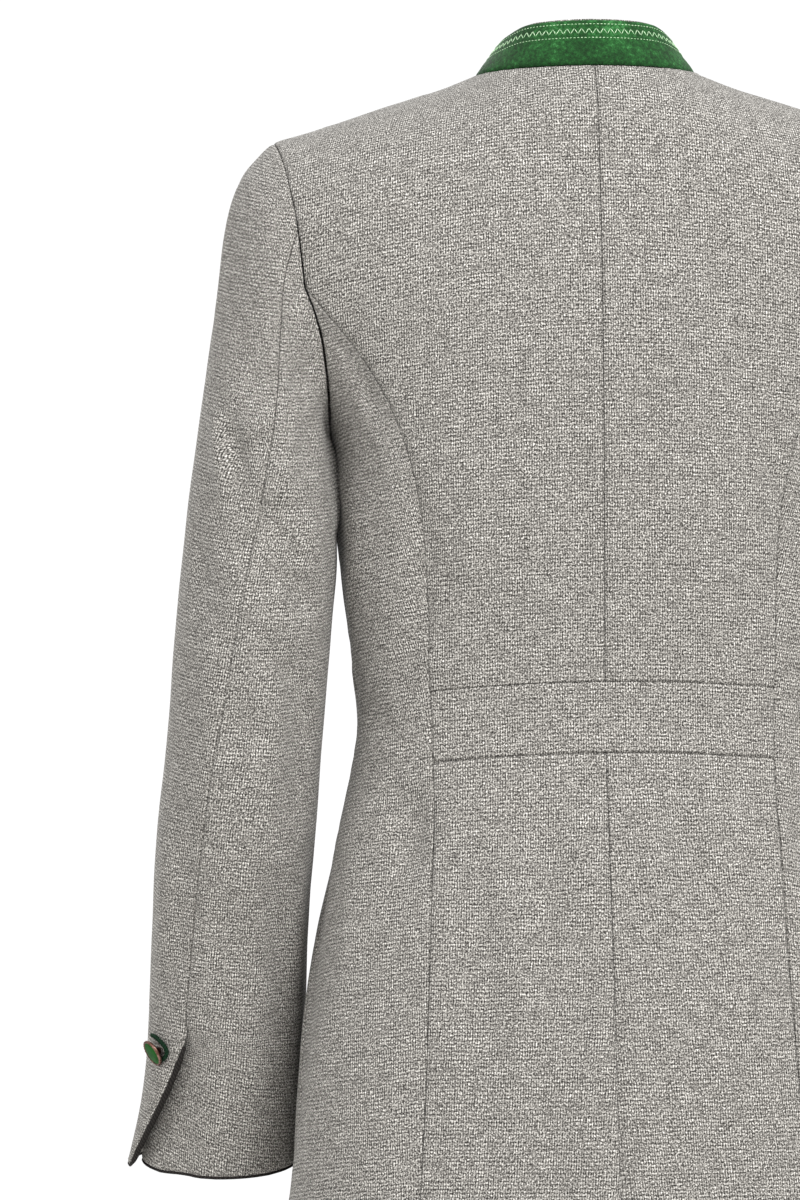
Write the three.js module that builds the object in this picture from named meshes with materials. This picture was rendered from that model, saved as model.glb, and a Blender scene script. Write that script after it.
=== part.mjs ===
// Trachten frock coat (Gehrock), in millimetres, as it is worn: a fitted wool coat with a green stand
// collar, princess seams, a waist panel let into the back, a back vent and two-piece sleeves with
// slit, piped cuffs. +Z is up, the front faces -Y and the wearer's left side is +X. The origin lies
// midway between the two points where the shoulder seams meet the collar.
//
// The body is one smooth surface, cut into its panels along the seam lines. Up to the armholes its
// level sections are superellipses. Above them it arches over the shoulders to a crest, which is the
// shoulder seam. Each panel is a wall of cloth built inwards from that surface.
import * as THREE from "three";

// Driving dimensions
const CLOTH = 2; // wall of the grey wool
const FELT = 1.6; // wall of the green collar felt
const FACING = 1.2; // wall of the grey cloth that backs the collar
const SEAM = 0.3; // gap between neighbouring pieces
const HEM_Z = -870;
const WAIST_LOW_Z = -415; // lower and upper edge of the waist panel, at its ends
const WAIST_HIGH_Z = -373;
const WAIST_RISE = 4.5; // how much higher the waist panel runs at the centre back
const BACK_NOTCH_Z = -133; // where the back princess seam leaves the armhole
const FRONT_NOTCH_Z = -140;
const UNDERARM_Z = -215;
const NECK_HALF = 68; // half width of the neckline
const NECK_BACK = 62; // how far the nape lies behind the origin
const NECK_DROP = 70; // how far the front neckline drops
const SHOULDER_X = 190; // shoulder point
const ARCH = 65; // height of the arch over the shoulder
const OVERLAP = 20; // how far each front runs past the centre front
const LAP_DROP = 2.7; // how much deeper the lower layer of a lap lies
const COLLAR_RAISE = 0.6; // gap between the neckline and the collar, upwards
const COLLAR_SEAT = 0.985; // and inwards, as a share
const COLLAR_PROUD = 0.055; // share by which the collar's grey cloth stands above its felt
const CF_GAP = 1.5; // half the gap between the collar's ends
const VENT_TOP_Z = -562;
const VENT_DRIFT = 4; // how far the vent's edge drifts to the right on its way to the hem
const SLEEVE_GAP = 0.3; // how far from the armhole the sleeve starts
const HEAD_FADE = 150; // how far down the sleeve the armhole's own shape is felt
const SLIT_START = 540; // where the cuff slit begins, measured down the outside of the sleeve
const SLEEVE_END = 634;
const SLIT_SWING = 46; // degrees by which the slit's upper edge swings open at the hem
const SLIT_LIFT = 10; // how far that edge stands off there
const SLIT_DROP = 3.5; // how much deeper the under sleeve lies in it
const SLIT_LAP = 44; // degrees by which the under sleeve runs on below it
const LAP_SHARE = 0.22; // share of the under sleeve's width that is this lap
const PIPING_R = 0.9;
const PIPING_GAP = 0.003; // share of a sleeve piece's width that its piping stops short of the seam
const CORD_R = 1.1; // button loops
const BUTTON = { radius: 8.5, thick: 3, shank: 3.4, shankRadius: 2.6 };
const FRONT_BUTTONS = { count: 6, first: -92, spacing: 76 };
const CUFF_BUTTON = { along: 556, angle: 33 };

// Body sections: half width, depth behind and before the origin, and how square each half is.
const BODY = table(["z", "half", "back", "front", "backSquare", "frontSquare"], [
  [-870, 204, 131, 130, 2.15, 2.15],
  [-760, 197, 125, 124, 2.15, 2.15],
  [-662, 189, 119, 119, 2.2, 2.2],
  [-587, 181, 112, 115, 2.25, 2.2],
  [-521, 171, 102, 110, 2.3, 2.25],
  [-469, 159, 92, 105, 2.35, 2.3],
  [-415, 146, 80, 100, 2.4, 2.35],
  [-378, 142.5, 77, 98, 2.45, 2.4],
  [-340, 147, 79.5, 105, 2.5, 2.45],
  [-300, 152, 84, 114, 2.5, 2.5],
  [-250, 154.5, 89, 121, 2.55, 2.5],
  [-215, 158, 91.5, 117, 2.65, 2.55],
  [-170, 180, 93, 107, 2.8, 2.7],
  [-133, 203, 93, 92, 2.9, 2.9],
  [-100, 212, 91, 76, 3, 3],
  [-60, 215, 86.5, 64, 3, 3],
  [0, 215, 79, 53, 3, 3],
]);
// The shoulder seam from the neck to the shoulder point and a little past it.
const CREST = table(["x", "z"], [
  [68, 0],
  [90, -8.5],
  [113, -15.5],
  [156, -29.5],
  [190, -40],
  [200, -43],
]);
// Upper armhole edges of back and front, from the notch (0) to the shoulder point (1).
const ARMHOLE = table(["t", "back", "front"], [
  [0, 174.5, 166],
  [0.25, 179.5, 171],
  [0.5, 184.5, 178.5],
  [0.75, 188, 185.5],
  [1, 190, 190],
]);
const BACK_PRINCESS = table(["z", "x"], [
  [-870, 128],
  [-668, 114.5],
  [-581, 109.5],
  [-503, 105.5],
  [-415, 102],
  [-373, 103],
  [-318, 105.5],
  [-269, 109],
  [-233, 115],
  [-203, 126],
  [-182, 138],
  [-155, 157],
  [-133, 174.5],
]);
const FRONT_PRINCESS = table(["z", "x"], [
  [-870, 122],
  [-700, 109],
  [-600, 101],
  [-500, 93],
  [-415, 86],
  [-378, 85],
  [-320, 89],
  [-260, 99],
  [-220, 113],
  [-190, 130],
  [-165, 148],
  [-140, 166],
]);
// Soft flutes of the skirt: angle from the centre back, half spread, and outward reach at the hem.
const FLUTES = table(["angle", "spread", "reach"], [
  [0, 9, 3],
  [28, 11, -5],
  [58, 14, 6],
  [88, 13, -5],
  [114, 14, 5],
  [146, 13, -3],
  [180, 16, 2],
]);
const FLUTE_TOP_Z = -450;
// The cuff's cord loop: its cord by angle and distance down the sleeve.
const LOOP = table(["step", "angle", "along"], [
  [0, 22.5, 548.3],
  [1, 26.5, 548],
  [2, 31.5, 548.6],
  [3, 36.5, 549.8],
  [4, 40.5, 551.6],
  [5, 43, 554.2],
  [6, 42.5, 557.2],
  [7, 40, 559.6],
  [8, 36.5, 561.4],
  [9, 32, 562.6],
]);
// The collar by share of the way from centre back to centre front: its height and how far its top
// edge is drawn in towards the neck.
const COLLAR = table(["way", "height", "pull"], [
  [0, 27.5, 0.81],
  [0.5, 20.5, 0.765],
  [0.75, 25, 0.84],
  [1, 29, 0.9],
]);
// Columns of the right back skirt by distance to the right of the centre back: above the vent and
// in it, where the first ones run on under the left skirt. The last are shares of the panel.
const VENT = table(["column", "above", "below"], [
  [0, 0, -38],
  [1, 2, -20],
  [2, 5, -3],
  [3, 9, 5.5],
  [4, 13, 13],
]);
// Sleeve sections by distance down the outside: the outermost and innermost point, the middle's
// depth, the half depth, the forward tilt of the section, and the angle of the back seam.
const SLEEVE = table(
  ["along", "outX", "outZ", "inX", "inZ", "midY", "depth", "tilt", "backSeam"],
  [
    [0, 190, -40, 158.6, -215, 2, 60, 0, 73],
    [14, 199, -48, 160.5, -219, 3, 61, 0, 78],
    [32, 209.5, -61, 160.7, -224, 4, 62, 0, 84],
    [58, 217.5, -86, 159.3, -231, 5, 61, 0, 89],
    [98, 224, -126, 157.2, -244, 7, 60, 0, 90],
    [150, 232.5, -177, 155.6, -264, 9, 58.5, 1, 88.5],
    [215, 242, -242, 154.8, -296, 9, 57, 2, 82.5],
    [290, 251, -317, 158.8, -338, 5, 56, 4, 76],
    [365, 257.5, -391, 164.2, -400, -4, 54, 8, 68],
    [440, 265.2, -466, 169.5, -470, -17, 51, 12, 60.5],
    [515, 269.3, -541, 172.5, -543, -36, 48.5, 14, 56],
    [590, 271.2, -614, 175.5, -615, -57, 46.5, 15, 56],
    [634, 273.6, -656.5, 177.5, -657.5, -70, 46, 14.5, 57],
  ],
);
const FRONT_SEAM = 2.4; // where the sleeve seams leave the armhole's loop
const BACK_SEAM = 0.8;

// Materials
const wool = finish("wool", 0x9d9993, 0.95);
const felt = finish("felt", 0x35663c, 0.95);
const pipingCloth = finish("piping", 0x34322f, 0.9);
const loopCord = finish("cord", 0x1d4a2c, 0.8);
const enamel = finish("button", 0x2f6b3c, 0.35, 0.3);

function finish(name, color, roughness, metalness = 0) {
  return new THREE.MeshStandardMaterial({ name, color, roughness, metalness });
}

// --- reading tables -------------------------------------------------------------------------

function table(names, rows) {
  const columns = {};
  names.forEach((name, i) => (columns[name] = rows.map((row) => row[i])));
  return { keys: columns[names[0]], columns };
}

// A column's value at a key, on a smooth curve through the table's rows.
function read({ keys, columns }, name, key) {
  const values = columns[name];
  const last = keys.length - 1;
  if (key <= keys[0]) return values[0];
  if (key >= keys[last]) return values[last];
  let i = 0;
  while (key > keys[i + 1]) i++;
  const slope = (j) => {
    const a = Math.max(j - 1, 0);
    const b = Math.min(j + 1, last);
    return (values[b] - values[a]) / (keys[b] - keys[a]);
  };
  const span = keys[i + 1] - keys[i];
  const t = (key - keys[i]) / span;
  const rise = t * t * (3 - 2 * t);
  return (
    values[i] * (1 - rise) +
    values[i + 1] * rise +
    slope(i) * span * t * (1 - t) * (1 - t) -
    slope(i + 1) * span * t * t * (1 - t)
  );
}

const mix = (a, b, t) => a + (b - a) * t;
const clamp = (t) => Math.min(1, Math.max(0, t));
const ease = (from, to, value) => {
  const t = clamp((value - from) / (to - from));
  return t * t * (3 - 2 * t);
};
const radians = THREE.MathUtils.degToRad;
const steps = (from, to, count) =>
  Array.from({ length: count + 1 }, (_, i) => mix(from, to, i / count));

// --- the body's surface ---------------------------------------------------------------------

function fluteReach(angle, z) {
  const low = ease(FLUTE_TOP_Z, HEM_Z, z);
  let reach = 0;
  FLUTES.columns.angle.forEach((at, i) => {
    const away = (Math.abs(angle) - at) / FLUTES.columns.spread[i];
    reach += FLUTES.columns.reach[i] * Math.exp(-away * away);
  });
  return reach * low;
}

// Depth of a level section's back (+1) or front (-1) half at a distance from the middle.
function sectionDepth(side, x, z) {
  const depth = read(BODY, side > 0 ? "back" : "front", z);
  const square = read(BODY, side > 0 ? "backSquare" : "frontSquare", z);
  const share = Math.min(1, Math.abs(x) / read(BODY, "half", z));
  return depth * Math.pow(1 - Math.pow(share, square), 1 / square);
}

// Point of a level section at an angle in degrees from the centre back, round over the left side.
function sectionPoint(angle, z) {
  const side = Math.cos(radians(angle)) >= 0 ? 1 : -1;
  const depth = read(BODY, side > 0 ? "back" : "front", z);
  const square = read(BODY, side > 0 ? "backSquare" : "frontSquare", z);
  const s = Math.sin(radians(angle));
  const c = Math.cos(radians(angle));
  const half = read(BODY, "half", z);
  const sum = Math.pow(Math.abs(c) / depth, square) + Math.pow(Math.abs(s) / half, square);
  const r = Math.pow(sum, -1 / square) + fluteReach(angle, z);
  return new THREE.Vector3(r * s, r * c, z);
}

// The angle at which a section's half stands a distance from the middle, flutes left out.
function angleAt(side, x, z) {
  return THREE.MathUtils.radToDeg(Math.atan2(x, side * sectionDepth(side, x, z)));
}

function neckDepth(x) {
  return NECK_BACK * Math.sqrt(Math.max(0, 1 - (x / NECK_HALF) ** 2));
}

function crestZ(side, x) {
  if (x >= NECK_HALF) return read(CREST, "z", x);
  if (side < 0) return 13 * (1 - (x / NECK_HALF) ** 2);
  const share = Math.min(1, neckDepth(x) / sectionDepth(1, x, 0));
  return ARCH * (1 - Math.sqrt(1 - share * share));
}

// Where a body panel ends upwards: on the neckline, or on the shoulder seam.
function topZ(side, x) {
  if (x >= NECK_HALF) return crestZ(side, x);
  return side > 0 ? 0 : -NECK_DROP * Math.pow(1 - (x / NECK_HALF) ** 2, 0.75);
}

// Surface point straight behind or before a place in the front view.
function facePoint(side, x, z) {
  const distance = Math.abs(x);
  const below = clamp((crestZ(side, distance) - z) / ARCH);
  const arch = Math.sqrt(1 - (1 - below) ** 2);
  const plain = side * sectionDepth(side, distance, z) * arch;
  const angle = THREE.MathUtils.radToDeg(Math.atan2(distance, plain));
  const reach = fluteReach(angle, z);
  return new THREE.Vector3(
    x + reach * Math.sin(radians(angle)) * Math.sign(x),
    plain + reach * Math.cos(radians(angle)),
    z,
  );
}

// Rows count 0 to 1 up the skirt, to 2 up the waist panel, to 3 up to a notch or the underarm, and
// to 4 over the shoulder.
function rowZ(v, notch) {
  if (v <= 1) return mix(HEM_Z, WAIST_LOW_Z, v);
  if (v <= 2) return mix(WAIST_LOW_Z, WAIST_HIGH_Z, v - 1);
  return mix(WAIST_HIGH_Z, notch, v - 2);
}

const NECK_SHARE = 0.45; // share of a centre panel's columns that end on the neckline
const SKIRT_ROWS = steps(0, 1, 7);
const WAIST_ROWS = steps(1, 2, 2);
const CHEST_ROWS = steps(2, 3, 6);
const SHOULDER_ROWS = steps(3, 4, 5);
const NECK_STEPS = 6;
const CENTRE_COLUMNS = [...steps(0, NECK_SHARE, NECK_STEPS), ...steps(NECK_SHARE, 1, 4).slice(1)];
const SIDE_COLUMNS = steps(0, 1, 5);

// Point of a centre back (+1) or centre front (-1) panel on the left: u runs from the middle to the
// princess seam or armhole. Below 0 it runs on past the centre front.
function centrePoint(side, u, v) {
  const notch = side > 0 ? BACK_NOTCH_Z : FRONT_NOTCH_Z;
  if (v <= 3) {
    const level = rowZ(v, notch);
    const edge = read(side > 0 ? BACK_PRINCESS : FRONT_PRINCESS, "x", level);
    const x = u < 0 ? u * OVERLAP : u * edge;
    const fade = ease(-520, WAIST_LOW_Z, level) * ease(-200, WAIST_HIGH_Z, level);
    const lift = side > 0 ? WAIST_RISE * (1 - u * u) * fade : 0;
    return facePoint(side, x, level + lift);
  }
  const t = v - 3;
  const neckX = NECK_HALF * Math.sin((Math.PI / 2) * clamp(u / NECK_SHARE));
  const topX = u < NECK_SHARE ? neckX : mix(NECK_HALF, SHOULDER_X, (u - NECK_SHARE) / (1 - NECK_SHARE));
  const share = mix(u, topX / SHOULDER_X, ease(0, 1, t));
  const x = u < 0 ? u * OVERLAP : share * read(ARMHOLE, side > 0 ? "back" : "front", t);
  const top = topZ(side, Math.abs(x));
  return facePoint(side, x, top - (top - notch) * (1 - t) ** 2);
}

// Point of a side panel on the left: u runs from the princess seam to the side seam.
function sidePoint(side, u, v) {
  const notch = side > 0 ? BACK_NOTCH_Z : FRONT_NOTCH_Z;
  const armhole = mix(notch, UNDERARM_Z, Math.pow(Math.sin((Math.PI / 2) * u), 0.85));
  const z = rowZ(v, armhole);
  const edge = read(side > 0 ? BACK_PRINCESS : FRONT_PRINCESS, "x", z);
  return sectionPoint(mix(angleAt(side, edge, z), 90, u), z);
}

// --- solids from grids ----------------------------------------------------------------------

// The surface's normal at u, v, from small steps either way inside the patch.
function normalAt(point, u, v, [u0, u1], [v0, v1]) {
  const e = 1e-3;
  const along = point(Math.min(u + e, u1), v).sub(point(Math.max(u - e, u0), v));
  const up = point(u, Math.min(v + e, v1)).sub(point(u, Math.max(v - e, v0)));
  return along.cross(up).normalize();
}

// A wall of cloth: a grid of outer points, built inwards along the normals. flip turns the normals
// of a patch whose u runs the other way round. Each edge is drawn in by half a seam's gap.
function wall(point, columns, rows, thickness, flip = false, normal = null) {
  const uSpan = [columns[0], columns.at(-1)];
  const vSpan = [rows[0], rows.at(-1)];
  const outer = rows.map((v) => columns.map((u) => point(u, v)));
  const normals = rows.map((v) =>
    columns.map((u) => {
      const n = normalAt(point, u, v, uSpan, vSpan);
      if (flip) n.negate();
      return normal ? normal(u, v, n) : n;
    }),
  );
  const drawIn = (p, next) => p.addScaledVector(next.clone().sub(p).normalize(), SEAM / 2);
  outer.forEach((row) => {
    drawIn(row[0], row[1]);
    drawIn(row.at(-1), row.at(-2));
  });
  columns.forEach((_, j) => {
    drawIn(outer[0][j], outer[1][j]);
    drawIn(outer.at(-1)[j], outer.at(-2)[j]);
  });
  const inner = outer.map((row, i) =>
    row.map((p, j) => p.clone().addScaledVector(normals[i][j], -thickness)),
  );
  return { outer, inner, normals, flip };
}

// The closed mesh of a wall. Quads are split along their shorter diagonal.
function wallGeometry({ outer, inner, flip }) {
  const rows = outer.length;
  const columns = outer[0].length;
  const points = [...outer.flat(), ...inner.flat()];
  const id = (layer, i, j) => layer * rows * columns + i * columns + j;
  const faces = [];
  const quad = (a, b, c, d) => {
    const short = points[a].distanceTo(points[c]) <= points[b].distanceTo(points[d]);
    faces.push(...(short ? [a, b, c, a, c, d] : [a, b, d, b, c, d]));
  };
  for (let i = 0; i + 1 < rows; i++) {
    for (let j = 0; j + 1 < columns; j++) {
      quad(id(0, i, j), id(0, i, j + 1), id(0, i + 1, j + 1), id(0, i + 1, j));
      quad(id(1, i, j), id(1, i + 1, j), id(1, i + 1, j + 1), id(1, i, j + 1));
    }
    quad(id(0, i, 0), id(0, i + 1, 0), id(1, i + 1, 0), id(1, i, 0));
    const k = columns - 1;
    quad(id(0, i, k), id(1, i, k), id(1, i + 1, k), id(0, i + 1, k));
  }
  for (let j = 0; j + 1 < columns; j++) {
    quad(id(0, 0, j), id(1, 0, j), id(1, 0, j + 1), id(0, 0, j + 1));
    const k = rows - 1;
    quad(id(0, k, j), id(0, k, j + 1), id(1, k, j + 1), id(1, k, j));
  }
  return meshGeometry(points, flip ? reversed(faces) : faces);
}

function reversed(faces) {
  const turned = [];
  for (let i = 0; i < faces.length; i += 3) turned.push(faces[i], faces[i + 2], faces[i + 1]);
  return turned;
}

function meshGeometry(points, faces) {
  const geometry = new THREE.BufferGeometry().setFromPoints(points);
  geometry.setIndex(faces);
  geometry.computeVertexNormals();
  return geometry;
}

// A round cord through a list of stations, each with a centre and two unit directions across it.
function cordGeometry(stations, radius, sides = 6) {
  const points = [];
  const faces = [];
  for (const { centre, across, over } of stations)
    for (let k = 0; k < sides; k++) {
      const turn = (2 * Math.PI * k) / sides;
      points.push(
        centre
          .clone()
          .addScaledVector(across, radius * Math.cos(turn))
          .addScaledVector(over, radius * Math.sin(turn)),
      );
    }
  const last = stations.length - 1;
  for (let i = 0; i < last; i++)
    for (let k = 0; k < sides; k++) {
      const next = (k + 1) % sides;
      const a = i * sides + k;
      const b = i * sides + next;
      faces.push(a, b, b + sides, a, b + sides, a + sides);
    }
  for (let k = 1; k + 1 < sides; k++) {
    faces.push(0, k + 1, k);
    faces.push(last * sides, last * sides + k, last * sides + k + 1);
  }
  const forward = stations[1].centre.clone().sub(stations[0].centre);
  const right = stations[0].across.clone().cross(stations[0].over);
  return meshGeometry(points, forward.dot(right) < 0 ? reversed(faces) : faces);
}

// --- putting pieces in the coat -------------------------------------------------------------

const coat = new THREE.Group();
const leftHalf = new THREE.Group();
const rightHalf = new THREE.Group();
rightHalf.scale.x = -1;
coat.add(leftHalf, rightHalf);

function add(name, geometry, material, half = coat) {
  const mesh = new THREE.Mesh(geometry, material);
  mesh.name = name;
  half.add(mesh);
  return mesh;
}

// Two mirrored pieces. place puts each of them in its half.
function addPair(name, geometry, material, place = () => {}) {
  place(add(`${name}_left`, geometry, material, leftHalf));
  place(add(`${name}_right`, geometry, material, rightHalf));
}

// --- body -----------------------------------------------------------------------------------

const clothWall = (point, columns, rows, flip) => wallGeometry(wall(point, columns, rows, CLOTH, flip));
const backFace = (u, v) => centrePoint(1, u, v);
const frontFace = (u, v) => centrePoint(-1, u, v);
const sideBackFace = (u, v) => sidePoint(1, u, v);
const sideFrontFace = (u, v) => sidePoint(-1, u, v);
const upperRows = [...CHEST_ROWS, ...SHOULDER_ROWS.slice(1)];
const sideRows = [...SKIRT_ROWS, ...WAIST_ROWS.slice(1), ...CHEST_ROWS.slice(1)];
const frontRows = [...sideRows, ...SHOULDER_ROWS.slice(1)];
const VENT_ROW = (VENT_TOP_Z - HEM_Z) / (WAIST_LOW_Z - HEM_Z);
const SKIRT_SHARES = 5;
const ventRows = [...steps(0, VENT_ROW - 0.03, 5), ...steps(VENT_ROW, 1, 3)];
const ventColumns = [...VENT.keys, ...steps(4, 4 + SKIRT_SHARES, SKIRT_SHARES).slice(1)];

function addBody() {
  addPair("back", clothWall(backFace, CENTRE_COLUMNS, upperRows, true), wool);
  add("waist_band", clothWall(waistPoint, steps(-1, 1, 16), WAIST_ROWS, true), wool);
  add("skirt_back_left", clothWall(skirtLeft, steps(0, 1, 9), ventRows, true), wool);
  add("skirt_back_right", clothWall(skirtRight, ventColumns, ventRows, true), wool, rightHalf);
  addPair("side_back", clothWall(sideBackFace, SIDE_COLUMNS, sideRows, true), wool);
  addPair("side_front", clothWall(sideFrontFace, SIDE_COLUMNS, sideRows), wool);
  const frontColumns = [-1, ...CENTRE_COLUMNS];
  add("front_left", clothWall(frontUnder, [...frontColumns, 0.35].sort((a, b) => a - b), frontRows), wool);
  add("front_right", clothWall(frontFace, frontColumns, frontRows), wool, rightHalf);
}

// The waist panel runs across both halves.
function waistPoint(u, v) {
  const p = backFace(Math.abs(u), v);
  if (u < 0) p.x = -p.x;
  return p;
}

// A place on the back skirt; its upper edge rises towards the middle as the waist panel does.
function skirtPlace(x, z) {
  const edge = read(BACK_PRINCESS, "x", z);
  const lift = WAIST_RISE * (1 - Math.min(1, (x / edge) ** 2)) * ease(-520, -415, z);
  return facePoint(1, x, z + lift);
}

// The left skirt's free edge drifts a little to the right below the vent's top.
function skirtLeft(u, v) {
  const z = rowZ(v);
  const drift = VENT_DRIFT * ease(VENT_TOP_Z, HEM_Z, z);
  return skirtPlace(mix(-drift, read(BACK_PRINCESS, "x", z), u), z);
}

// The right skirt is written as on the left side and mirrored. In the vent its first columns dip
// and run on under the left skirt.
function skirtRight(column, v) {
  const z = rowZ(v);
  const fold = VENT.keys.at(-1);
  const edge = read(BACK_PRINCESS, "x", z);
  const at = (k) => read(VENT, v < VENT_ROW - 0.001 ? "below" : "above", k);
  const x = column <= fold ? at(column) : mix(at(fold), edge, (column - fold) / SKIRT_SHARES);
  const p = skirtPlace(x, z);
  p.y -= LAP_DROP * (1 - ease(5, 13, x)) * (1 - ease(VENT_TOP_Z, VENT_TOP_Z + 60, z));
  return p;
}

// The left front dips under the right one.
function frontUnder(u, v) {
  const p = centrePoint(-1, u, v);
  p.y += LAP_DROP * (1 - ease(OVERLAP + 1, OVERLAP + 22, p.x));
  return p;
}

// --- collar ---------------------------------------------------------------------------------

// Place on the collar by way, from the centre front (-1) round the right side and the centre back
// (0) to the centre front again (1), and share of the height.
function collarPoint(way, share) {
  const far = Math.abs(way);
  const side = far <= 0.5 ? 1 : -1;
  const x = Math.max(NECK_HALF * Math.sin(Math.PI * far), CF_GAP * ease(0.9, 1, far));
  const base = facePoint(side, x, topZ(side, x));
  const pull = mix(COLLAR_SEAT, read(COLLAR, "pull", far), share);
  const z = base.z + COLLAR_RAISE + share * read(COLLAR, "height", far);
  return new THREE.Vector3(Math.sign(way) * base.x * pull, base.y * pull, z);
}

// The grey cloth lies inside the felt and stands a little above it.
function collarLining(way, share) {
  const lifted = share * (1 + COLLAR_PROUD);
  const out = normalAt(collarPoint, way, Math.min(lifted, 1), [-1, 1], [0, 1]).negate();
  return collarPoint(way, lifted).addScaledVector(out, -(FELT + SEAM));
}

function addCollar() {
  const around = steps(-1, 1, 4 * NECK_STEPS);
  const up = steps(0, 1, 2);
  add("collar_outer", wallGeometry(wall(collarPoint, around, up, FELT, true)), felt);
  add("collar_inner", wallGeometry(wall(collarLining, around, up, FACING, true)), wool);
}

// --- sleeves --------------------------------------------------------------------------------

// The frame of a sleeve section: its centre, the directions to its outermost and hindmost points,
// and its two half widths.
function sleeveFrame(along) {
  const at = (name) => read(SLEEVE, name, along);
  const outer = new THREE.Vector3(at("outX"), 0, at("outZ"));
  const inner = new THREE.Vector3(at("inX"), 0, at("inZ"));
  const tilt = radians(at("tilt"));
  return {
    centre: outer.clone().add(inner).multiplyScalar(0.5).setY(at("midY")),
    out: outer.clone().sub(inner).normalize(),
    rear: new THREE.Vector3(0, Math.cos(tilt), -Math.sin(tilt)),
    width: outer.distanceTo(inner) / 2,
    depth: at("depth"),
  };
}

// Point of a plain section at an angle from the outermost point, counted over the back.
function sectionOf({ centre, out, rear, width, depth }, angle) {
  const c = Math.cos(radians(angle));
  const s = Math.sin(radians(angle));
  return centre.clone().addScaledVector(out, width * c).addScaledVector(rear, depth * s);
}

// The armhole as a loop: over the back from the shoulder (0) to the notch (1) and the underarm (2),
// and up the front to its notch (3) and the shoulder (4). Gives the panel that it is an edge of.
function armholeEdge(w) {
  if (w <= 1) return { panel: backFace, u: 1, v: 4 - w, rows: [2, 4], turn: -1 };
  if (w <= 2) return { panel: sideBackFace, u: w - 1, v: 3, rows: [0, 3], turn: -1 };
  if (w <= 3) return { panel: sideFrontFace, u: 3 - w, v: 3, rows: [0, 3], turn: 1 };
  return { panel: frontFace, u: 1, v: w, rows: [0, 4], turn: 1 };
}

function armholeLoop(w) {
  const { panel, u, v } = armholeEdge(w);
  return panel(u, v);
}

function armholeNormal(w) {
  const { panel, u, v, rows, turn } = armholeEdge(w);
  return normalAt(panel, u, v, [0, 1], rows).multiplyScalar(turn);
}

const ARMHOLE_FRAME = sleeveFrame(0);
const FRONT_SEAM_ANGLE = armholeAngle(FRONT_SEAM);

function armholeAngle(w) {
  const p = armholeLoop(w).sub(ARMHOLE_FRAME.centre);
  const across = p.dot(ARMHOLE_FRAME.rear) / ARMHOLE_FRAME.depth;
  const turn = THREE.MathUtils.radToDeg(Math.atan2(across, p.dot(ARMHOLE_FRAME.out) / ARMHOLE_FRAME.width));
  return turn < -90 || (w > 2 && turn <= 90) ? turn + 360 : turn;
}

// The armhole's place at an angle of the first section, found by halving.
function armholeAt(angle) {
  const wanted = THREE.MathUtils.euclideanModulo(angle, 360);
  let low = 0;
  let high = 4;
  for (let i = 0; i < 30; i++) {
    const middle = (low + high) / 2;
    if (armholeAngle(middle) < wanted) low = middle;
    else high = middle;
  }
  return low;
}

// Point of the sleeve: its section, drawn to the armhole near its head.
function sleevePoint(angle, along) {
  const p = sectionOf(sleeveFrame(along), angle);
  const fade = (1 - clamp(along / HEAD_FADE)) ** 2;
  if (fade === 0) return p;
  const pull = armholeLoop(armholeAt(angle)).sub(sectionOf(ARMHOLE_FRAME, angle));
  return p.addScaledVector(pull, fade);
}

// Where the sleeve turns down from the body, the two rims meet flat against each other.
function rimNormal(angle, along, own) {
  if (along > SLEEVE_GAP) return own;
  const w = armholeAt(angle);
  const body = armholeNormal(w);
  const down = sleevePoint(angle, 2).sub(sleevePoint(angle, 0));
  return down.dot(body) < 0 ? body : own;
}

const opening = (along) => clamp((along - SLIT_START) / (SLEEVE_END - SLIT_START));

// The top sleeve runs over the outside from the front seam to the back seam. Below the slit's top
// its free edge swings open and stands off.
function topAngle(u, along) {
  const seam = read(SLEEVE, "backSeam", along);
  return mix(FRONT_SEAM_ANGLE - 360, seam - SLIT_SWING * opening(along), u);
}

function topSleeve(u, along) {
  const p = sleevePoint(topAngle(u, along), along);
  return standOff(p, along, SLIT_LIFT * opening(along) * ease(0.55, 1, u));
}

// The under sleeve runs from the back seam over the inside. In the slit it runs on under the top
// sleeve's free edge: that lap is its first share.
function underAngle(u, along) {
  const seam = read(SLEEVE, "backSeam", along);
  const lap = SLIT_LAP * clamp(opening(along) * 4.7);
  if (u < LAP_SHARE) return mix(seam - lap, seam, u / LAP_SHARE);
  return mix(seam, FRONT_SEAM_ANGLE, (u - LAP_SHARE) / (1 - LAP_SHARE));
}

function underSleeve(u, along) {
  const p = sleevePoint(underAngle(u, along), along);
  const below = ease(SLIT_START - 18, SLIT_START, along);
  const beside = 1 - ease(LAP_SHARE, LAP_SHARE + 0.1, u);
  return standOff(p, along, -SLIT_DROP * below * beside);
}

function standOff(p, along, distance) {
  const off = p.clone().sub(sleeveFrame(along).centre).setZ(0).normalize();
  return p.addScaledVector(off, distance);
}

function sleeveWall(point, angleOf, columns, rows) {
  const normal = (u, v, own) => rimNormal(angleOf(u, v), v, own);
  return wallGeometry(wall(point, columns, rows, CLOTH, true, normal));
}

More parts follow.
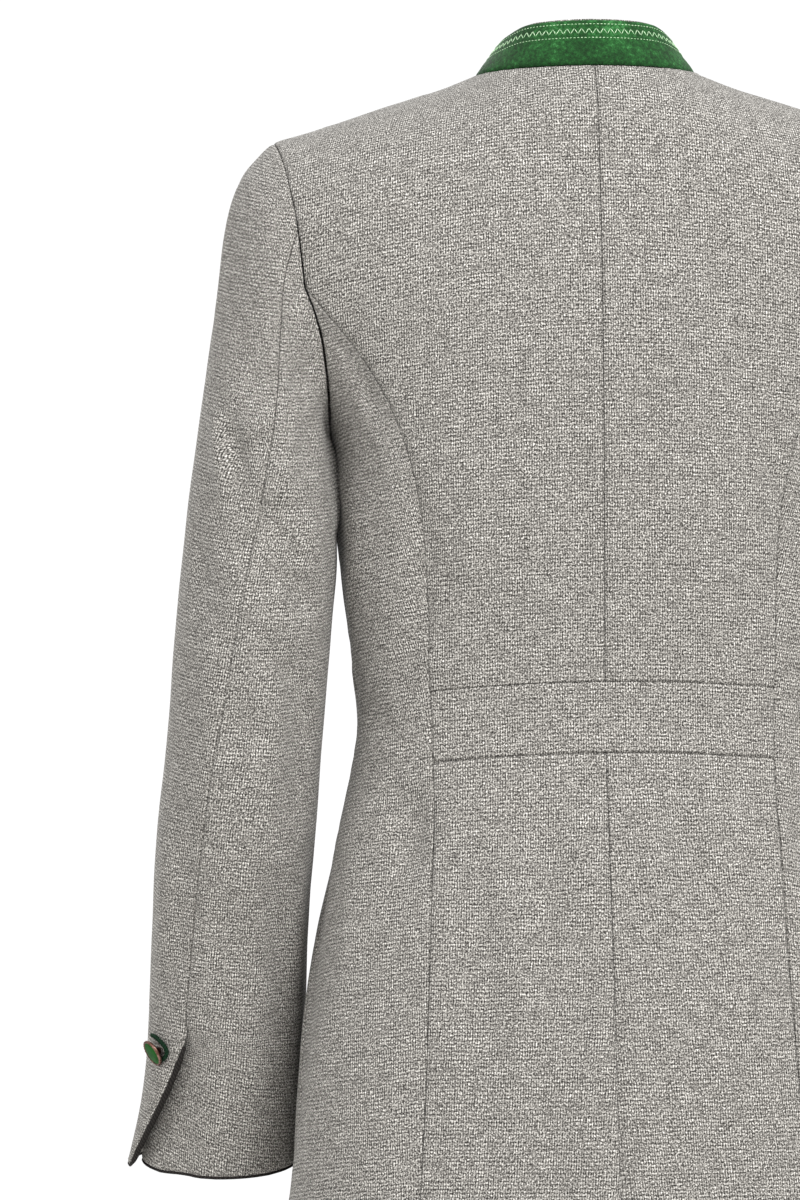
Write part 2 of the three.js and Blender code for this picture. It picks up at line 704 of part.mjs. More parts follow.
// Both sleeve pieces have a column at each corner of the panels' armhole edges. Each side's rows are
// spaced so that its cloth divides well into convex pieces.
function addSleeves() {
  const shares = (angles) => angles.map((angle) => (angle - angles[0]) / (angles.at(-1) - angles[0]));
  const front = [...steps(FRONT_SEAM, 3, 3), ...SHOULDER_ROWS.slice(1)].map((w) => armholeAngle(w) - 360);
  const back = steps(0, BACK_SEAM, 4).slice(1).map(armholeAngle);
  const inner = shares(steps(BACK_SEAM, FRONT_SEAM, 8).map(armholeAngle));
  const under = inner.map((share) => mix(LAP_SHARE, 1, share));
  const cuff = [SLIT_START - 18, SLIT_START, SLIT_START + 20, 590, 612, SLEEVE_END];
  const topColumns = shares([...front, ...back]);
  const underColumns = [0, LAP_SHARE / 2, ...under];
  const sides = [
    ["left", leftHalf, [SLEEVE_GAP, 7, 16, 32, 58, 98, 150, 215, 290, 365, 440, ...cuff]],
    ["right", rightHalf, [SLEEVE_GAP, 8, 19, 36, 62, 98, 144, 196, 254, 316, 378, 440, ...cuff]],
  ];
  for (const [side, half, rows] of sides)
    add(`top_sleeve_${side}`, sleeveWall(topSleeve, topAngle, topColumns, rows), wool, half);
  for (const [side, half, rows] of sides)
    add(`under_sleeve_${side}`, sleeveWall(underSleeve, underAngle, underColumns, rows), wool, half);
}

// --- piping, buttons and loops --------------------------------------------------------------

// A station of piping just past a panel's edge: du, dv lead out of the panel there.
function pipingStation(point, u, v, du, dv) {
  const edge = point(u, v);
  const step = 0.01;
  const out = edge.clone().sub(point(u - du * step, v - dv * step * SLEEVE_END)).normalize();
  const normal = normalAt(point, u, v, [0, 1], [0, SLEEVE_END]).negate();
  const centre = edge.addScaledVector(out, SEAM + PIPING_R).addScaledVector(normal, -CLOTH / 2);
  return { centre, across: out, over: normal };
}

// Piping runs along the top sleeve's hem, round the corner and up the slit.
function topPiping() {
  const hem = steps(PIPING_GAP, 0.94, 12).map((u) => pipingStation(topSleeve, u, SLEEVE_END, 0, 1));
  const corner = pipingStation(topSleeve, 1, SLEEVE_END, 0, 1);
  const side = pipingStation(topSleeve, 1, SLEEVE_END, 1, 0);
  corner.centre.add(side.centre).sub(topSleeve(1, SLEEVE_END));
  corner.centre.addScaledVector(corner.over, CLOTH / 2);
  corner.across.add(side.across).normalize();
  const slit = steps(SLEEVE_END - 5, SLIT_START + 6, 5).map((v) => pipingStation(topSleeve, 1, v, 1, 0));
  return cordGeometry([...hem, corner, ...slit], PIPING_R);
}

function underPiping() {
  const hem = steps(0, 1 - PIPING_GAP, 12).map((u) => pipingStation(underSleeve, u, SLEEVE_END, 0, 1));
  return cordGeometry(hem, PIPING_R);
}

// A shank button, its axis along +Y and its back on the cloth at 0.
function buttonGeometry() {
  const { radius, thick, shank, shankRadius } = BUTTON;
  const profile = [
    [0, SEAM],
    [shankRadius, SEAM],
    [shankRadius, shank],
    [radius - 1, shank],
    [radius, shank + 0.9],
    [radius, shank + thick - 0.9],
    [radius - 0.9, shank + thick],
    [0, shank + thick],
  ];
  return new THREE.LatheGeometry(profile.map(([r, h]) => new THREE.Vector2(r, h)), 12);
}

function setButton(mesh, point, normal) {
  mesh.position.copy(point);
  mesh.quaternion.setFromUnitVectors(new THREE.Vector3(0, 1, 0), normal);
}

// Place and normal on the top sleeve at an angle and a distance down it.
function onTopSleeve(angle, along) {
  const start = topAngle(0, along);
  const u = (angle - start) / (topAngle(1, along) - start);
  const normal = normalAt(topSleeve, u, along, [0, 1], [0, SLEEVE_END]).negate();
  return { point: topSleeve(u, along), normal };
}

// Place and normal on the upper front at the centre front, on the facets between its rows.
function onFrontEdge(z) {
  const line = frontRows.map((v) => frontFace(0, v));
  const above = line.findIndex((p) => p.z >= z);
  const [low, high] = [line[above - 1], line[above]];
  const point = low.clone().lerp(high, (z - low.z) / (high.z - low.z));
  return { point, normal: new THREE.Vector3(1, 0, 0).cross(high.clone().sub(low)).normalize() };
}

function addButtons() {
  addPair("cuff_button", buttonGeometry(), enamel, (mesh) => {
    const { point, normal } = onTopSleeve(CUFF_BUTTON.angle, CUFF_BUTTON.along);
    setButton(mesh, point, normal);
  });
  for (let i = 0; i < FRONT_BUTTONS.count; i++) {
    const { point, normal } = onFrontEdge(FRONT_BUTTONS.first - i * FRONT_BUTTONS.spacing);
    setButton(add(`front_button_${i + 1}`, buttonGeometry(), enamel), point, normal);
  }
}

// The cord loop lies on the top sleeve and bends round the slit side of the button's shank.
function loopGeometry() {
  const places = LOOP.columns.angle.map((angle, i) => onTopSleeve(angle, LOOP.columns.along[i]));
  const centres = places.map(({ point, normal }) => point.addScaledVector(normal, SEAM + CORD_R));
  const stations = centres.map((centre, i) => {
    const ahead = centres[Math.min(i + 1, centres.length - 1)];
    const behind = centres[Math.max(i - 1, 0)];
    const over = places[i].normal;
    return { centre, over, across: ahead.clone().sub(behind).cross(over).normalize() };
  });
  return cordGeometry(stations, CORD_R);
}

addBody();
addCollar();
addSleeves();
addPair("top_piping", topPiping(), pipingCloth);
addPair("under_piping", underPiping(), pipingCloth);
addPair("cuff_loop", loopGeometry(), loopCord);
addButtons();

export default coat;
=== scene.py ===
import math
from functools import partial

import bpy
import numpy as np
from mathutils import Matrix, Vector


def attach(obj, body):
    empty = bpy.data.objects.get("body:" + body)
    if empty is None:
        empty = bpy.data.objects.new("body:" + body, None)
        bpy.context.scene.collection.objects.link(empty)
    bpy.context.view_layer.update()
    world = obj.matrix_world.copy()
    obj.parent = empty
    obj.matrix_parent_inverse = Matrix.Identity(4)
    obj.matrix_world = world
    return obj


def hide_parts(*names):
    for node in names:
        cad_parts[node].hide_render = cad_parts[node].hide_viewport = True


# Trachten frock coat, as it is worn: the looks of its cloth, felt, stitching, piping and buttons.
# Shapes are worked out in millimetres in the coat's own frame, and go into the scene in metres. +Z is
# up, the front faces -Y and the wearer's left side is +X. The coat's cut repeats its solid model's: one
# body surface, cut into its panels along the seams, and one tube for each sleeve.

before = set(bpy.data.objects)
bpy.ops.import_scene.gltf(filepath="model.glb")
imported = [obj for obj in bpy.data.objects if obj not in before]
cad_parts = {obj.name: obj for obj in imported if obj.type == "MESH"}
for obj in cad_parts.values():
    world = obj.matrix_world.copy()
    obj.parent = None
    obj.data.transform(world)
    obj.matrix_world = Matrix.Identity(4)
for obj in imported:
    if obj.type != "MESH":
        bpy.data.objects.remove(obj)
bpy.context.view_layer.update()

MM = 0.001
BACK, FRONT = 1, -1  # the body's two sides, by the sign of their y
SIDES = {"left": False, "right": True}  # whether a side mirrors the left one
CELL = 4.0  # size of the cloth's faces
COLLAR_CELL = 3.0
BESIDE_EDGE = (0.7, 1.6, 3.0)  # where they lie closer, beside each edge
EDGE_CLEAR = 0.6  # and how far the next ones keep from there

# Walls and gaps
CLOTH = 2.0
FELT = 1.6
FACING = 1.2
SEAM = 0.3

# Levels and places of the cut
HEM_Z = -870.0
WAIST_LOW_Z = -415.0
WAIST_HIGH_Z = -373.0
WAIST_RISE = 4.5  # of the waist panel at the centre back, and the levels where it has faded out
RISE_END_LOW_Z = -520.0
RISE_END_HIGH_Z = -200.0
BACK_NOTCH_Z = -133.0  # where a princess seam meets the armhole
FRONT_NOTCH_Z = -140.0
UNDERARM_Z = -215.0
UNDERARM_ROUND = 0.85  # how full its curve is
NECK_HALF = 68.0
NECK_BACK = 62.0
NECK_DROP = 70.0  # of the front neckline, and how full its curve is
NECK_ROUND = 0.75
NECK_SHARE = 0.45  # of a panel's top that lies along the neck
NECK_CREST = 13.0  # of the front's surface above the neck point
SHOULDER_X = 190.0
ARCH = 65.0  # below the crest the body's faces are upright
OVERLAP = 20.0
LAP_DROP = 2.7  # of the lower layer where two lap, and where past the overlap it comes up again
LAP_SLOPE = (1.0, 22.0)
VENT_TOP_Z = -562.0
VENT_DRIFT = 4.0  # of the left skirt's edge at the hem
VENT_UNDER = 38.0  # how far the right skirt runs on below it, and how soon it gets there
VENT_UNDER_FADE = 45.0
VENT_SLOPE = (5.0, 13.0)  # where the right skirt comes up again, and how high above the vent it dips
VENT_SLOPE_FADE = 60.0
FLUTE_TOP_Z = -450.0
COLLAR_RAISE = 0.6
COLLAR_SEAT = 0.985  # the collar's foot as a share of the neck's size
COLLAR_PROUD = 0.055  # of the lining above the felt, as a share of the height
CF_GAP = 1.5  # half the gap between the collar's ends, and where it starts on the way round
CF_GAP_FROM = 0.9
HEAD_FADE = 150.0  # how far down a sleeve the armhole's shape fades out
SLEEVE_GAP = 0.3
SLEEVE_END = 634.0
FRONT_SEAM = 2.4  # place of the sleeve's front seam on the way round the armhole

# The cuff's slit, where the top sleeve ends in a free edge over the under sleeve
SLIT_START = 540.0
SLIT_SWING = 46.0  # degrees that the free edge swings forward, on this curve
SLIT_CURVE = 1.45
SLIT_LIFT = 10.0  # how far it stands off, on this curve, from this share of the width on
SLIT_LIFT_CURVE = 0.8
SLIT_LIFT_FROM = 0.55
SLIT_DROP = 4.5  # how far the under sleeve dips there, from and to these distances past the start
SLIT_DROP_OVER = (-6.0, 5.0)
SLIT_LAP = 44.0  # degrees that it runs on below the free edge, how fast it gets there and how much
SLIT_LAP_PACE = 4.7  # more it runs on at the end
SLIT_LAP_MORE = 18.0
UNDER_SWING = 5.5  # how far it swings out at its end, rises beside the slit and falls within it
UNDER_RISE = 3.5
UNDER_FALL = 2.5

# Trims
PIPING_R = 0.9
CORD_R = 1.1
BUTTON_R = 8.5
BUTTON_THICK = 3.0
SHANK = 3.4
SHANK_R = 2.6
FRONT_BUTTONS = [-92.0 - 76.0 * i for i in range(6)]  # their levels
CUFF_BUTTON = (33.0, 556.0)  # angle round the sleeve and distance down it


def table(names, *rows):
    """Columns by name; the first one holds the keys."""
    return dict(zip(names.split(), np.array(rows, float).T))


BODY = table(
    "z half back front back_square front_square",
    (-870, 204, 131, 130, 2.15, 2.15), (-760, 197, 125, 124, 2.15, 2.15), (-662, 189, 119, 119, 2.2, 2.2),
    (-587, 181, 112, 115, 2.25, 2.2), (-521, 171, 102, 110, 2.3, 2.25), (-469, 159, 92, 105, 2.35, 2.3),
    (-415, 146, 80, 100, 2.4, 2.35), (-378, 142.5, 77, 98, 2.45, 2.4), (-340, 147, 79.5, 105, 2.5, 2.45),
    (-300, 152, 84, 114, 2.5, 2.5), (-250, 154.5, 89, 121, 2.55, 2.5), (-215, 158, 91.5, 117, 2.65, 2.55),
    (-170, 180, 93, 107, 2.8, 2.7), (-133, 203, 93, 92, 2.9, 2.9), (-100, 212, 91, 76, 3, 3),
    (-60, 215, 86.5, 64, 3, 3), (0, 215, 79, 53, 3, 3),
)
CREST = table("x z", (68, 0), (90, -8.5), (113, -15.5), (156, -29.5), (190, -40), (200, -43))
ARMHOLE = table(
    "t back front",
    (0, 174.5, 166), (0.25, 179.5, 171), (0.5, 184.5, 178.5), (0.75, 188, 185.5), (1, 190, 190),
)
BACK_PRINCESS = table(
    "z x",
    (-870, 128), (-668, 114.5), (-581, 109.5), (-503, 105.5), (-415, 102), (-373, 103), (-318, 105.5),
    (-269, 109), (-233, 115), (-203, 126), (-182, 138), (-155, 157), (-133, 174.5),
)
FRONT_PRINCESS = table(
    "z x",
    (-870, 122), (-700, 109), (-600, 101), (-500, 93), (-415, 86), (-378, 85), (-320, 89), (-260, 99),
    (-220, 113), (-190, 130), (-165, 148), (-140, 166),
)
FLUTES = table(
    "angle spread reach", (0, 9, 3), (28, 11, -5), (58, 14, 6), (88, 13, -5), (114, 14, 5), (146, 13, -3),
    (180, 16, 2),
)
COLLAR = table(
    "way height pull",
    (0, 28.2, 0.81), (0.13, 27.9, 0.808), (0.25, 26.9, 0.8), (0.37, 22.6, 0.78), (0.5, 20.5, 0.765),
    (0.75, 25, 0.84), (1, 29, 0.9),
)
SLEEVE = table(
    "along out_x out_z in_x in_z mid_y depth tilt back_seam",
    (0, 190, -40, 158.6, -215, 2, 60, 0, 73), (14, 199, -48, 160.5, -219, 3, 61, 0, 78),
    (32, 209.5, -61, 160.7, -224, 4, 62, 0, 84), (58, 217.5, -86, 159.3, -231, 5, 61, 0, 89),
    (98, 224, -126, 157.2, -244, 7, 60, 0, 90), (150, 232.5, -177, 155.6, -264, 9, 58.5, 1, 88.5),
    (215, 242, -242, 154.8, -296, 9, 57, 2, 82.5), (290, 251, -317, 158.8, -338, 5, 56, 4, 76),
    (365, 257.5, -391, 164.2, -400, -4, 54, 8, 68), (440, 265.2, -466, 169.5, -470, -17, 51, 12, 60.5),
    (515, 269.3, -541, 172.5, -543, -36, 48.5, 14, 56),
    (590, 271.2, -614, 175.5, -615, -57, 46.5, 15, 56),
    (634, 273.6, -656.5, 177.5, -657.5, -70, 46, 14.5, 57),
)
LOOP = table(
    "step angle along",
    (0, 22.5, 548.3), (1, 26.5, 548), (2, 31.5, 548.6), (3, 36.5, 549.8), (4, 40.5, 551.6),
    (5, 43, 554.2), (6, 42.5, 557.2), (7, 40, 559.6), (8, 36.5, 561.4), (9, 32, 562.6),
)

# Folds of the cloth: where each starts and ends, its half width and how far it stands out, or sinks
# where that is negative. On the body a place is a distance to the left and a level, seen from the
# back or the front, or an angle round from the centre back and a level.
BACK_FOLDS = (
    (20, -424, 23, -664, 9, 3.6), (-20, -426, -24, -516, 8, 3.4), (40, -432, 46, -560, 9, -3.9),
    (66, -436, 72, -640, 12, 2.6), (88, -450, 92, -700, 12, -3.4), (-40, -428, -44, -510, 10, -4.2),
    (-64, -430, -72, -620, 13, 2.9), (-92, -470, -98, -720, 13, -3.4), (44, -600, 50, -800, 13, -3.4),
    (-18, -560, -22, -700, 9, -2.6), (-50, -590, -56, -790, 14, -3.6), (76, -640, 84, -840, 13, 3.1),
    (114, -426, 120, -484, 11, -5.5), (132, -440, 136, -500, 9, 2.3), (-114, -426, -122, -500, 13, -4.7),
    (24, -190, 22, -368, 9, -2.3), (-20, -150, -18, -330, 9, -2.1), (58, -110, 74, -236, 16, -2.1),
    (-64, -100, -80, -230, 17, -2.1), (84, -214, 92, -366, 10, 2.3), (46, -236, 42, -350, 12, 1.8),
    (-52, -230, -48, -360, 12, 1.8), (-96, -200, -100, -352, 9, -3.4), (162, -152, 128, -226, 8, -3.4),
    (150, -190, 120, -262, 7, 2.3), (-162, -152, -126, -230, 8, -3.4), (-150, -196, -122, -270, 7, 2.3),
    (98, -300, 64, -352, 9, -1.8), (118, -352, 84, -366, 6, 1.8), (-104, -310, -60, -356, 9, -1.8),
    (28, -397, 76, -392, 7, -1.3), (-20, -403, -84, -396, 8, -1.4), (6, -62, 60, -36, 12, -1.8),
    (-8, -64, -66, -38, 12, -1.8),
)
SIDE_FOLDS = (
    (62, -224, 70, -380, 9, -4.3), (80, -232, 86, -340, 9, 3.1), (94, -214, 97, -290, 12, 1.8),
    (66, -398, 84, -370, 8, -2.6), (100, -398, 84, -346, 8, 1.8), (70, -424, 64, -500, 12, -4.8),
    (84, -430, 80, -620, 13, 2.6), (62, -520, 60, -760, 13, -3.1), (98, -440, 102, -700, 15, -3.8),
    (-68, -226, -74, -370, 9, -4.1), (-86, -232, -90, -330, 9, 2.9), (-70, -400, -86, -370, 8, -2.6),
    (-76, -426, -70, -520, 13, -4.3), (-92, -432, -88, -640, 14, 2.4), (-106, -450, -112, -760, 16, -3.1),
)
FRONT_FOLDS = (
    (64, -380, 84, -300, 10, -1.8), (-62, -384, -84, -304, 10, -2.0), (40, -386, 18, -430, 9, -1.8),
    (-38, -390, -20, -440, 9, -1.6), (46, -450, 52, -780, 14, -3.0), (-48, -460, -55, -800, 15, -2.8),
    (92, -520, 98, -820, 14, 2.2), (-90, -500, -99, -790, 14, 2.4), (140, -190, 104, -226, 9, -2.4),
    (-142, -188, -106, -232, 9, -2.4), (120, -92, 84, -160, 13, -1.6), (-118, -90, -86, -168, 13, -1.7),
    (0, -120, 0, -330, 24, 0.8), (22, -560, 26, -850, 12, 1.8), (-30, -600, -33, -860, 12, -1.7),
)
# On a sleeve a place is an angle round it, over the back from its outermost line, and a distance down.
LEFT_SLEEVE_FOLDS = (
    (160, 10, 166, 180, 9.5, 5.6), (112, 14, 104, 96, 9, -6.1), (122, 78, 112, 150, 9, -4.3),
    (84, 40, 92, 108, 9, -4.1), (96, 96, 70, 128, 8, -4.3), (88, 132, 60, 168, 8, 3.8),
    (62, 96, 70, 160, 10, -3.2), (34, 168, 56, 222, 7, 4.9), (46, 162, 70, 214, 7, -4.9),
    (92, 158, 104, 196, 9, 4.3), (74, 206, 108, 236, 9, -4.1), (110, 196, 140, 224, 8, 3.5),
    (96, 240, 136, 276, 9, -4.9), (22, 236, 50, 296, 9, -3.5), (56, 250, 84, 290, 9, 3.2),
    (88, 300, 132, 334, 9, -3.8), (122, 300, 130, 420, 14, -5.8), (52, 300, 60, 420, 11, 3.2),
    (66, 340, 100, 372, 9, -3.2), (104, 360, 96, 470, 11, 2.6), (116, 440, 128, 560, 13, -5.2),
    (78, 452, 92, 520, 11, -4.6), (40, 400, 46, 520, 12, -2.9), (22, 420, 26, 520, 9, 2.3),
    (96, 520, 104, 590, 10, 3.2), (200, 220, 238, 260, 10, -3.8), (206, 272, 246, 306, 9, 2.8),
    (-20, 90, -30, 210, 14, -2.9), (-44, 226, -64, 300, 11, -3.2), (-60, 330, -64, 520, 13, -2.9),
    (-96, 130, -90, 230, 11, 2.6), (6, 34, 12, 120, 11, 2.3), (160, 420, 166, 570, 12, -2.9),
)
RIGHT_SLEEVE_FOLDS = (
    (160, 14, 166, 172, 9.5, 5.4), (110, 16, 102, 90, 9, -5.6), (124, 74, 114, 146, 9, -3.9),
    (82, 44, 90, 112, 9, -3.6), (98, 100, 72, 134, 8, -3.9), (86, 138, 58, 170, 8, 3.4),
    (64, 92, 72, 156, 10, -2.9), (38, 176, 60, 230, 7, 4.2), (50, 170, 74, 224, 7, -4.3),
    (90, 166, 102, 206, 9, 3.8), (78, 214, 112, 246, 9, -3.6), (112, 204, 142, 232, 8, 3.1),
    (100, 250, 138, 284, 9, -4.3), (26, 246, 54, 306, 9, -3.1), (58, 262, 86, 300, 9, 2.8),
    (92, 310, 134, 344, 9, -3.4), (124, 310, 132, 430, 14, -5.0), (50, 310, 58, 430, 11, 2.8),
    (70, 352, 102, 384, 9, -2.8), (102, 372, 96, 480, 11, 2.4), (118, 450, 130, 570, 13, -4.5),
    (80, 460, 94, 530, 11, -4.1), (44, 410, 48, 530, 12, -2.7), (204, 226, 240, 268, 10, -3.4),
    (210, 280, 248, 312, 9, 2.5), (-24, 96, -34, 200, 14, -2.7), (-48, 236, -66, 310, 11, -2.8),
    (-62, 340, -66, 500, 13, -2.7), (-100, 136, -94, 236, 11, 2.4), (8, 40, 14, 126, 11, 2.1),
    (160, 430, 166, 560, 12, -2.7),
)


# --- reading the cut ---------------------------------------------------------------------------


def at(x, y, z):
    """Points from their coordinates."""
    return np.stack(np.broadcast_arrays(x, y, z), axis=-1).astype(float)


def mix(a, b, t):
    return a + (b - a) * t


def ease(start, end, value):
    """0 at the start and 1 at the end, with a smooth way between."""
    t = np.clip((value - start) / (end - start), 0, 1)
    return t * t * (3 - 2 * t)


def read(columns, name, key):
    """A column's values at keys, on a smooth curve through the table's rows."""
    keys, values = next(iter(columns.values())), columns[name]
    slopes = np.zeros(len(values))
    slopes[1:-1] = (values[2:] - values[:-2]) / (keys[2:] - keys[:-2])
    slopes[0] = (values[1] - values[0]) / (keys[1] - keys[0])
    slopes[-1] = (values[-1] - values[-2]) / (keys[-1] - keys[-2])
    key = np.clip(key, keys[0], keys[-1])
    i = np.clip(np.searchsorted(keys, key, side="right") - 1, 0, len(keys) - 2)
    span = keys[i + 1] - keys[i]
    t = (key - keys[i]) / span
    value = mix(values[i], values[i + 1], t * t * (3 - 2 * t))
    return value + slopes[i] * span * t * (1 - t) ** 2 - slopes[i + 1] * span * t * t * (1 - t)


def side_of(side):
    return "back" if side == BACK else "front"


def flute_reach(angle, z):
    """How far the skirt's flutes stand out, at an angle from the centre back."""
    away = (np.abs(angle)[..., None] - FLUTES["angle"]) / FLUTES["spread"]
    return ease(FLUTE_TOP_Z, HEM_Z, z) * (FLUTES["reach"] * np.exp(-(away**2))).sum(-1)


def section_depth(side, x, z):
    """How far a level section reaches to the back or the front, without its flutes."""
    depth, square = read(BODY, side_of(side), z), read(BODY, side_of(side) + "_square", z)
    share = np.minimum(1, np.abs(x) / read(BODY, "half", z))
    return depth * (1 - share**square) ** (1 / square)


def section_point(angle, z):
    """Point of a level section at an angle from the centre back, round over the left side."""
    s, c = np.sin(np.radians(angle)), np.cos(np.radians(angle))
    depth = np.where(c >= 0, read(BODY, "back", z), read(BODY, "front", z))
    square = np.where(c >= 0, read(BODY, "back_square", z), read(BODY, "front_square", z))
    total = (np.abs(c) / depth) ** square + (np.abs(s) / read(BODY, "half", z)) ** square
    reach = total ** (-1 / square) + flute_reach(angle, z)
    return at(reach * s, reach * c, z)


def crest_z(side, x):
    """Level where the body's surface turns over: the shoulder line, and a cap over the neck."""
    inside = np.minimum(1, x / NECK_HALF)
    if side == FRONT:
        neck = NECK_CREST * (1 - inside**2)
    else:
        share = np.minimum(1, NECK_BACK * np.sqrt(1 - inside**2) / section_depth(BACK, x, 0 * x))
        neck = ARCH * (1 - np.sqrt(1 - share**2))
    return np.where(x >= NECK_HALF, read(CREST, "z", x), neck)


def top_z(side, x):
    """The body's upper edge: the neckline and the shoulder seam."""
    inside = np.minimum(1, x / NECK_HALF)
    neck = 0 * x if side == BACK else -NECK_DROP * (1 - inside**2) ** NECK_ROUND
    return np.where(x >= NECK_HALF, crest_z(side, x), neck)


def face_point(side, x, z):
    """Surface point straight behind or before a place in the front view."""
    x, z = np.broadcast_arrays(np.asarray(x, float), np.asarray(z, float))
    off = np.abs(x)
    below = np.clip((crest_z(side, off) - z) / ARCH, 0, 1)
    plain = side * section_depth(side, off, z) * np.sqrt(1 - (1 - below) ** 2)
    angle = np.degrees(np.arctan2(off, plain))
    reach = flute_reach(angle, z)
    turn = np.radians(angle)
    return at(x + reach * np.sin(turn) * np.sign(x), plain + reach * np.cos(turn), z)


def row_z(v, notch):
    """Levels by row: 0 to 1 up the skirt, to 2 up the waist panel, to 3 up to a notch or the underarm."""
    low = mix(HEM_Z, WAIST_LOW_Z, np.clip(v, 0, 1))
    waist = low + (WAIST_HIGH_Z - WAIST_LOW_Z) * np.clip(v - 1, 0, 1)
    return waist + (notch - WAIST_HIGH_Z) * np.clip(v - 2, 0, 1)


def notch_z(side):
    return BACK_NOTCH_Z if side == BACK else FRONT_NOTCH_Z


def princess_x(side, z):
    """Place of a princess seam in the front view."""
    return read(BACK_PRINCESS if side == BACK else FRONT_PRINCESS, "x", z)


def centre_point(side, u, v):
    """Point of a centre back or centre front panel: u runs from the middle to its outer edge."""
    notch = notch_z(side)
    level = row_z(v, notch)
    low_x = np.where(u < 0, u * OVERLAP, u * princess_x(side, level))
    fade = ease(RISE_END_LOW_Z, WAIST_LOW_Z, level) * ease(RISE_END_HIGH_Z, WAIST_HIGH_Z, level)
    low_z = level + (WAIST_RISE * (1 - u * u) * fade if side == BACK else 0)
    t = np.clip(v - 3, 0, 1)
    neck_x = NECK_HALF * np.sin((math.pi / 2) * np.clip(u / NECK_SHARE, 0, 1))
    shoulder_x = mix(NECK_HALF, SHOULDER_X, (u - NECK_SHARE) / (1 - NECK_SHARE))
    top_x = np.where(u < NECK_SHARE, neck_x, shoulder_x)
    share = mix(u, top_x / SHOULDER_X, ease(0, 1, t))
    high_x = np.where(u < 0, u * OVERLAP, share * read(ARMHOLE, side_of(side), t))
    top = top_z(side, np.abs(high_x))
    high_z = top - (top - notch) * (1 - t) ** 2
    return face_point(side, np.where(v <= 3, low_x, high_x), np.where(v <= 3, low_z, high_z))


def side_point(side, u, v):
    """Point of a side panel: u runs from the princess seam to the side seam."""
    armhole = mix(notch_z(side), UNDERARM_Z, np.sin((math.pi / 2) * np.clip(u, 0, 1)) ** UNDERARM_ROUND)
    z = row_z(v, armhole)
    edge = princess_x(side, z)
    start = np.degrees(np.arctan2(edge, side * section_depth(side, edge, z)))
    return section_point(mix(start, 90, u), z)


back_face, front_face = partial(centre_point, BACK), partial(centre_point, FRONT)
side_back_face, side_front_face = partial(side_point, BACK), partial(side_point, FRONT)


def front_under(u, v):
    """The left front dips under the right one."""
    p = front_face(u, v)
    start, end = LAP_SLOPE
    p[..., 1] += LAP_DROP * (1 - ease(OVERLAP + start, OVERLAP + end, p[..., 0]))
    return p


def waist_point(u, v):
    """Point of the waist panel: u runs from its right end to its left one."""
    p = back_face(np.abs(u), v)
    p[..., 0] *= np.where(u < 0, -1, 1)
    return p


def skirt_place(x, z):
    """Place on the back of the skirt, below the waist panel's risen lower seam."""
    share = np.minimum(1, (x / princess_x(BACK, z)) ** 2)
    return face_point(BACK, x, z + WAIST_RISE * (1 - share) * ease(RISE_END_LOW_Z, WAIST_LOW_Z, z))


def skirt_left(u, v):
    """Point of the left back skirt: u runs from the vent's edge to the princess seam."""
    z = row_z(v, 0)
    return skirt_place(mix(-VENT_DRIFT * ease(VENT_TOP_Z, HEM_Z, z), princess_x(BACK, z), u), z)


def skirt_right(u, v):
    """Written as on the left side. Below the vent's top it dips and runs on under the left skirt."""
    z = row_z(v, 0)
    x = mix(-VENT_UNDER * ease(VENT_TOP_Z, VENT_TOP_Z - VENT_UNDER_FADE, z), princess_x(BACK, z), u)
    p = skirt_place(x, z)
    low = 1 - ease(VENT_TOP_Z, VENT_TOP_Z + VENT_SLOPE_FADE, z)
    p[..., 1] -= LAP_DROP * (1 - ease(*VENT_SLOPE, x)) * low
    return p


def collar_point(way, share):
    """Place on the collar by way, from the centre front round the right side, and share of the height."""
    far = np.abs(way)
    x = np.maximum(NECK_HALF * np.sin(math.pi * np.clip(far, 0, 1)), CF_GAP * ease(CF_GAP_FROM, 1, far))
    back, front = (face_point(side, x, top_z(side, x)) for side in (BACK, FRONT))
    base = np.where((far <= 0.5)[..., None], back, front)
    pull = mix(COLLAR_SEAT, read(COLLAR, "pull", far), share)
    z = base[..., 2] + COLLAR_RAISE + share * read(COLLAR, "height", far)
    return at(np.sign(way) * base[..., 0] * pull, base[..., 1] * pull, z)


def collar_lining(way, share):
    """The lining lies against the felt's inner face and stands a little proud of it."""
    lifted = share * (1 + COLLAR_PROUD)
    out = slope(collar_point, way, np.clip(lifted, 0, 1), (-1, 1), (0, 1))
    return collar_point(way, lifted) + out * (FELT + SEAM)


def slope(point, u, v, u_span, v_span):
    """The surface's normals, from small steps either way inside the patch."""
    step = 1e-3
    along = point(np.minimum(u + step, u_span[1]), v) - point(np.maximum(u - step, u_span[0]), v)
    up = point(u, np.minimum(v + step, v_span[1])) - point(u, np.maximum(v - step, v_span[0]))
    n = np.cross(along, up)
    return n / np.maximum(np.linalg.norm(n, axis=-1, keepdims=True), 1e-12)


# --- sleeves' cut ------------------------------------------------------------------------------


def sleeve_frame(along):
    """Centre of a section, directions to its outermost and hindmost points, and its half widths."""
    along = np.asarray(along, float)
    outer = at(read(SLEEVE, "out_x", along), 0, read(SLEEVE, "out_z", along))
    inner = at(read(SLEEVE, "in_x", along), 0, read(SLEEVE, "in_z", along))
    tilt = np.radians(read(SLEEVE, "tilt", along))
    centre = (outer + inner) / 2
    centre[..., 1] = read(SLEEVE, "mid_y", along)
    across = np.linalg.norm(outer - inner, axis=-1, keepdims=True)
    rear = at(0, np.cos(tilt), -np.sin(tilt))
    return centre, (outer - inner) / across, rear, across / 2, read(SLEEVE, "depth", along)[..., None]


def section_of(cut, angle):
    """Point of a sleeve's section at an angle from its outermost point, over the back."""
    centre, out, rear, width, depth = cut
    turn = np.radians(angle)[..., None]
    return centre + out * width * np.cos(turn) + rear * depth * np.sin(turn)


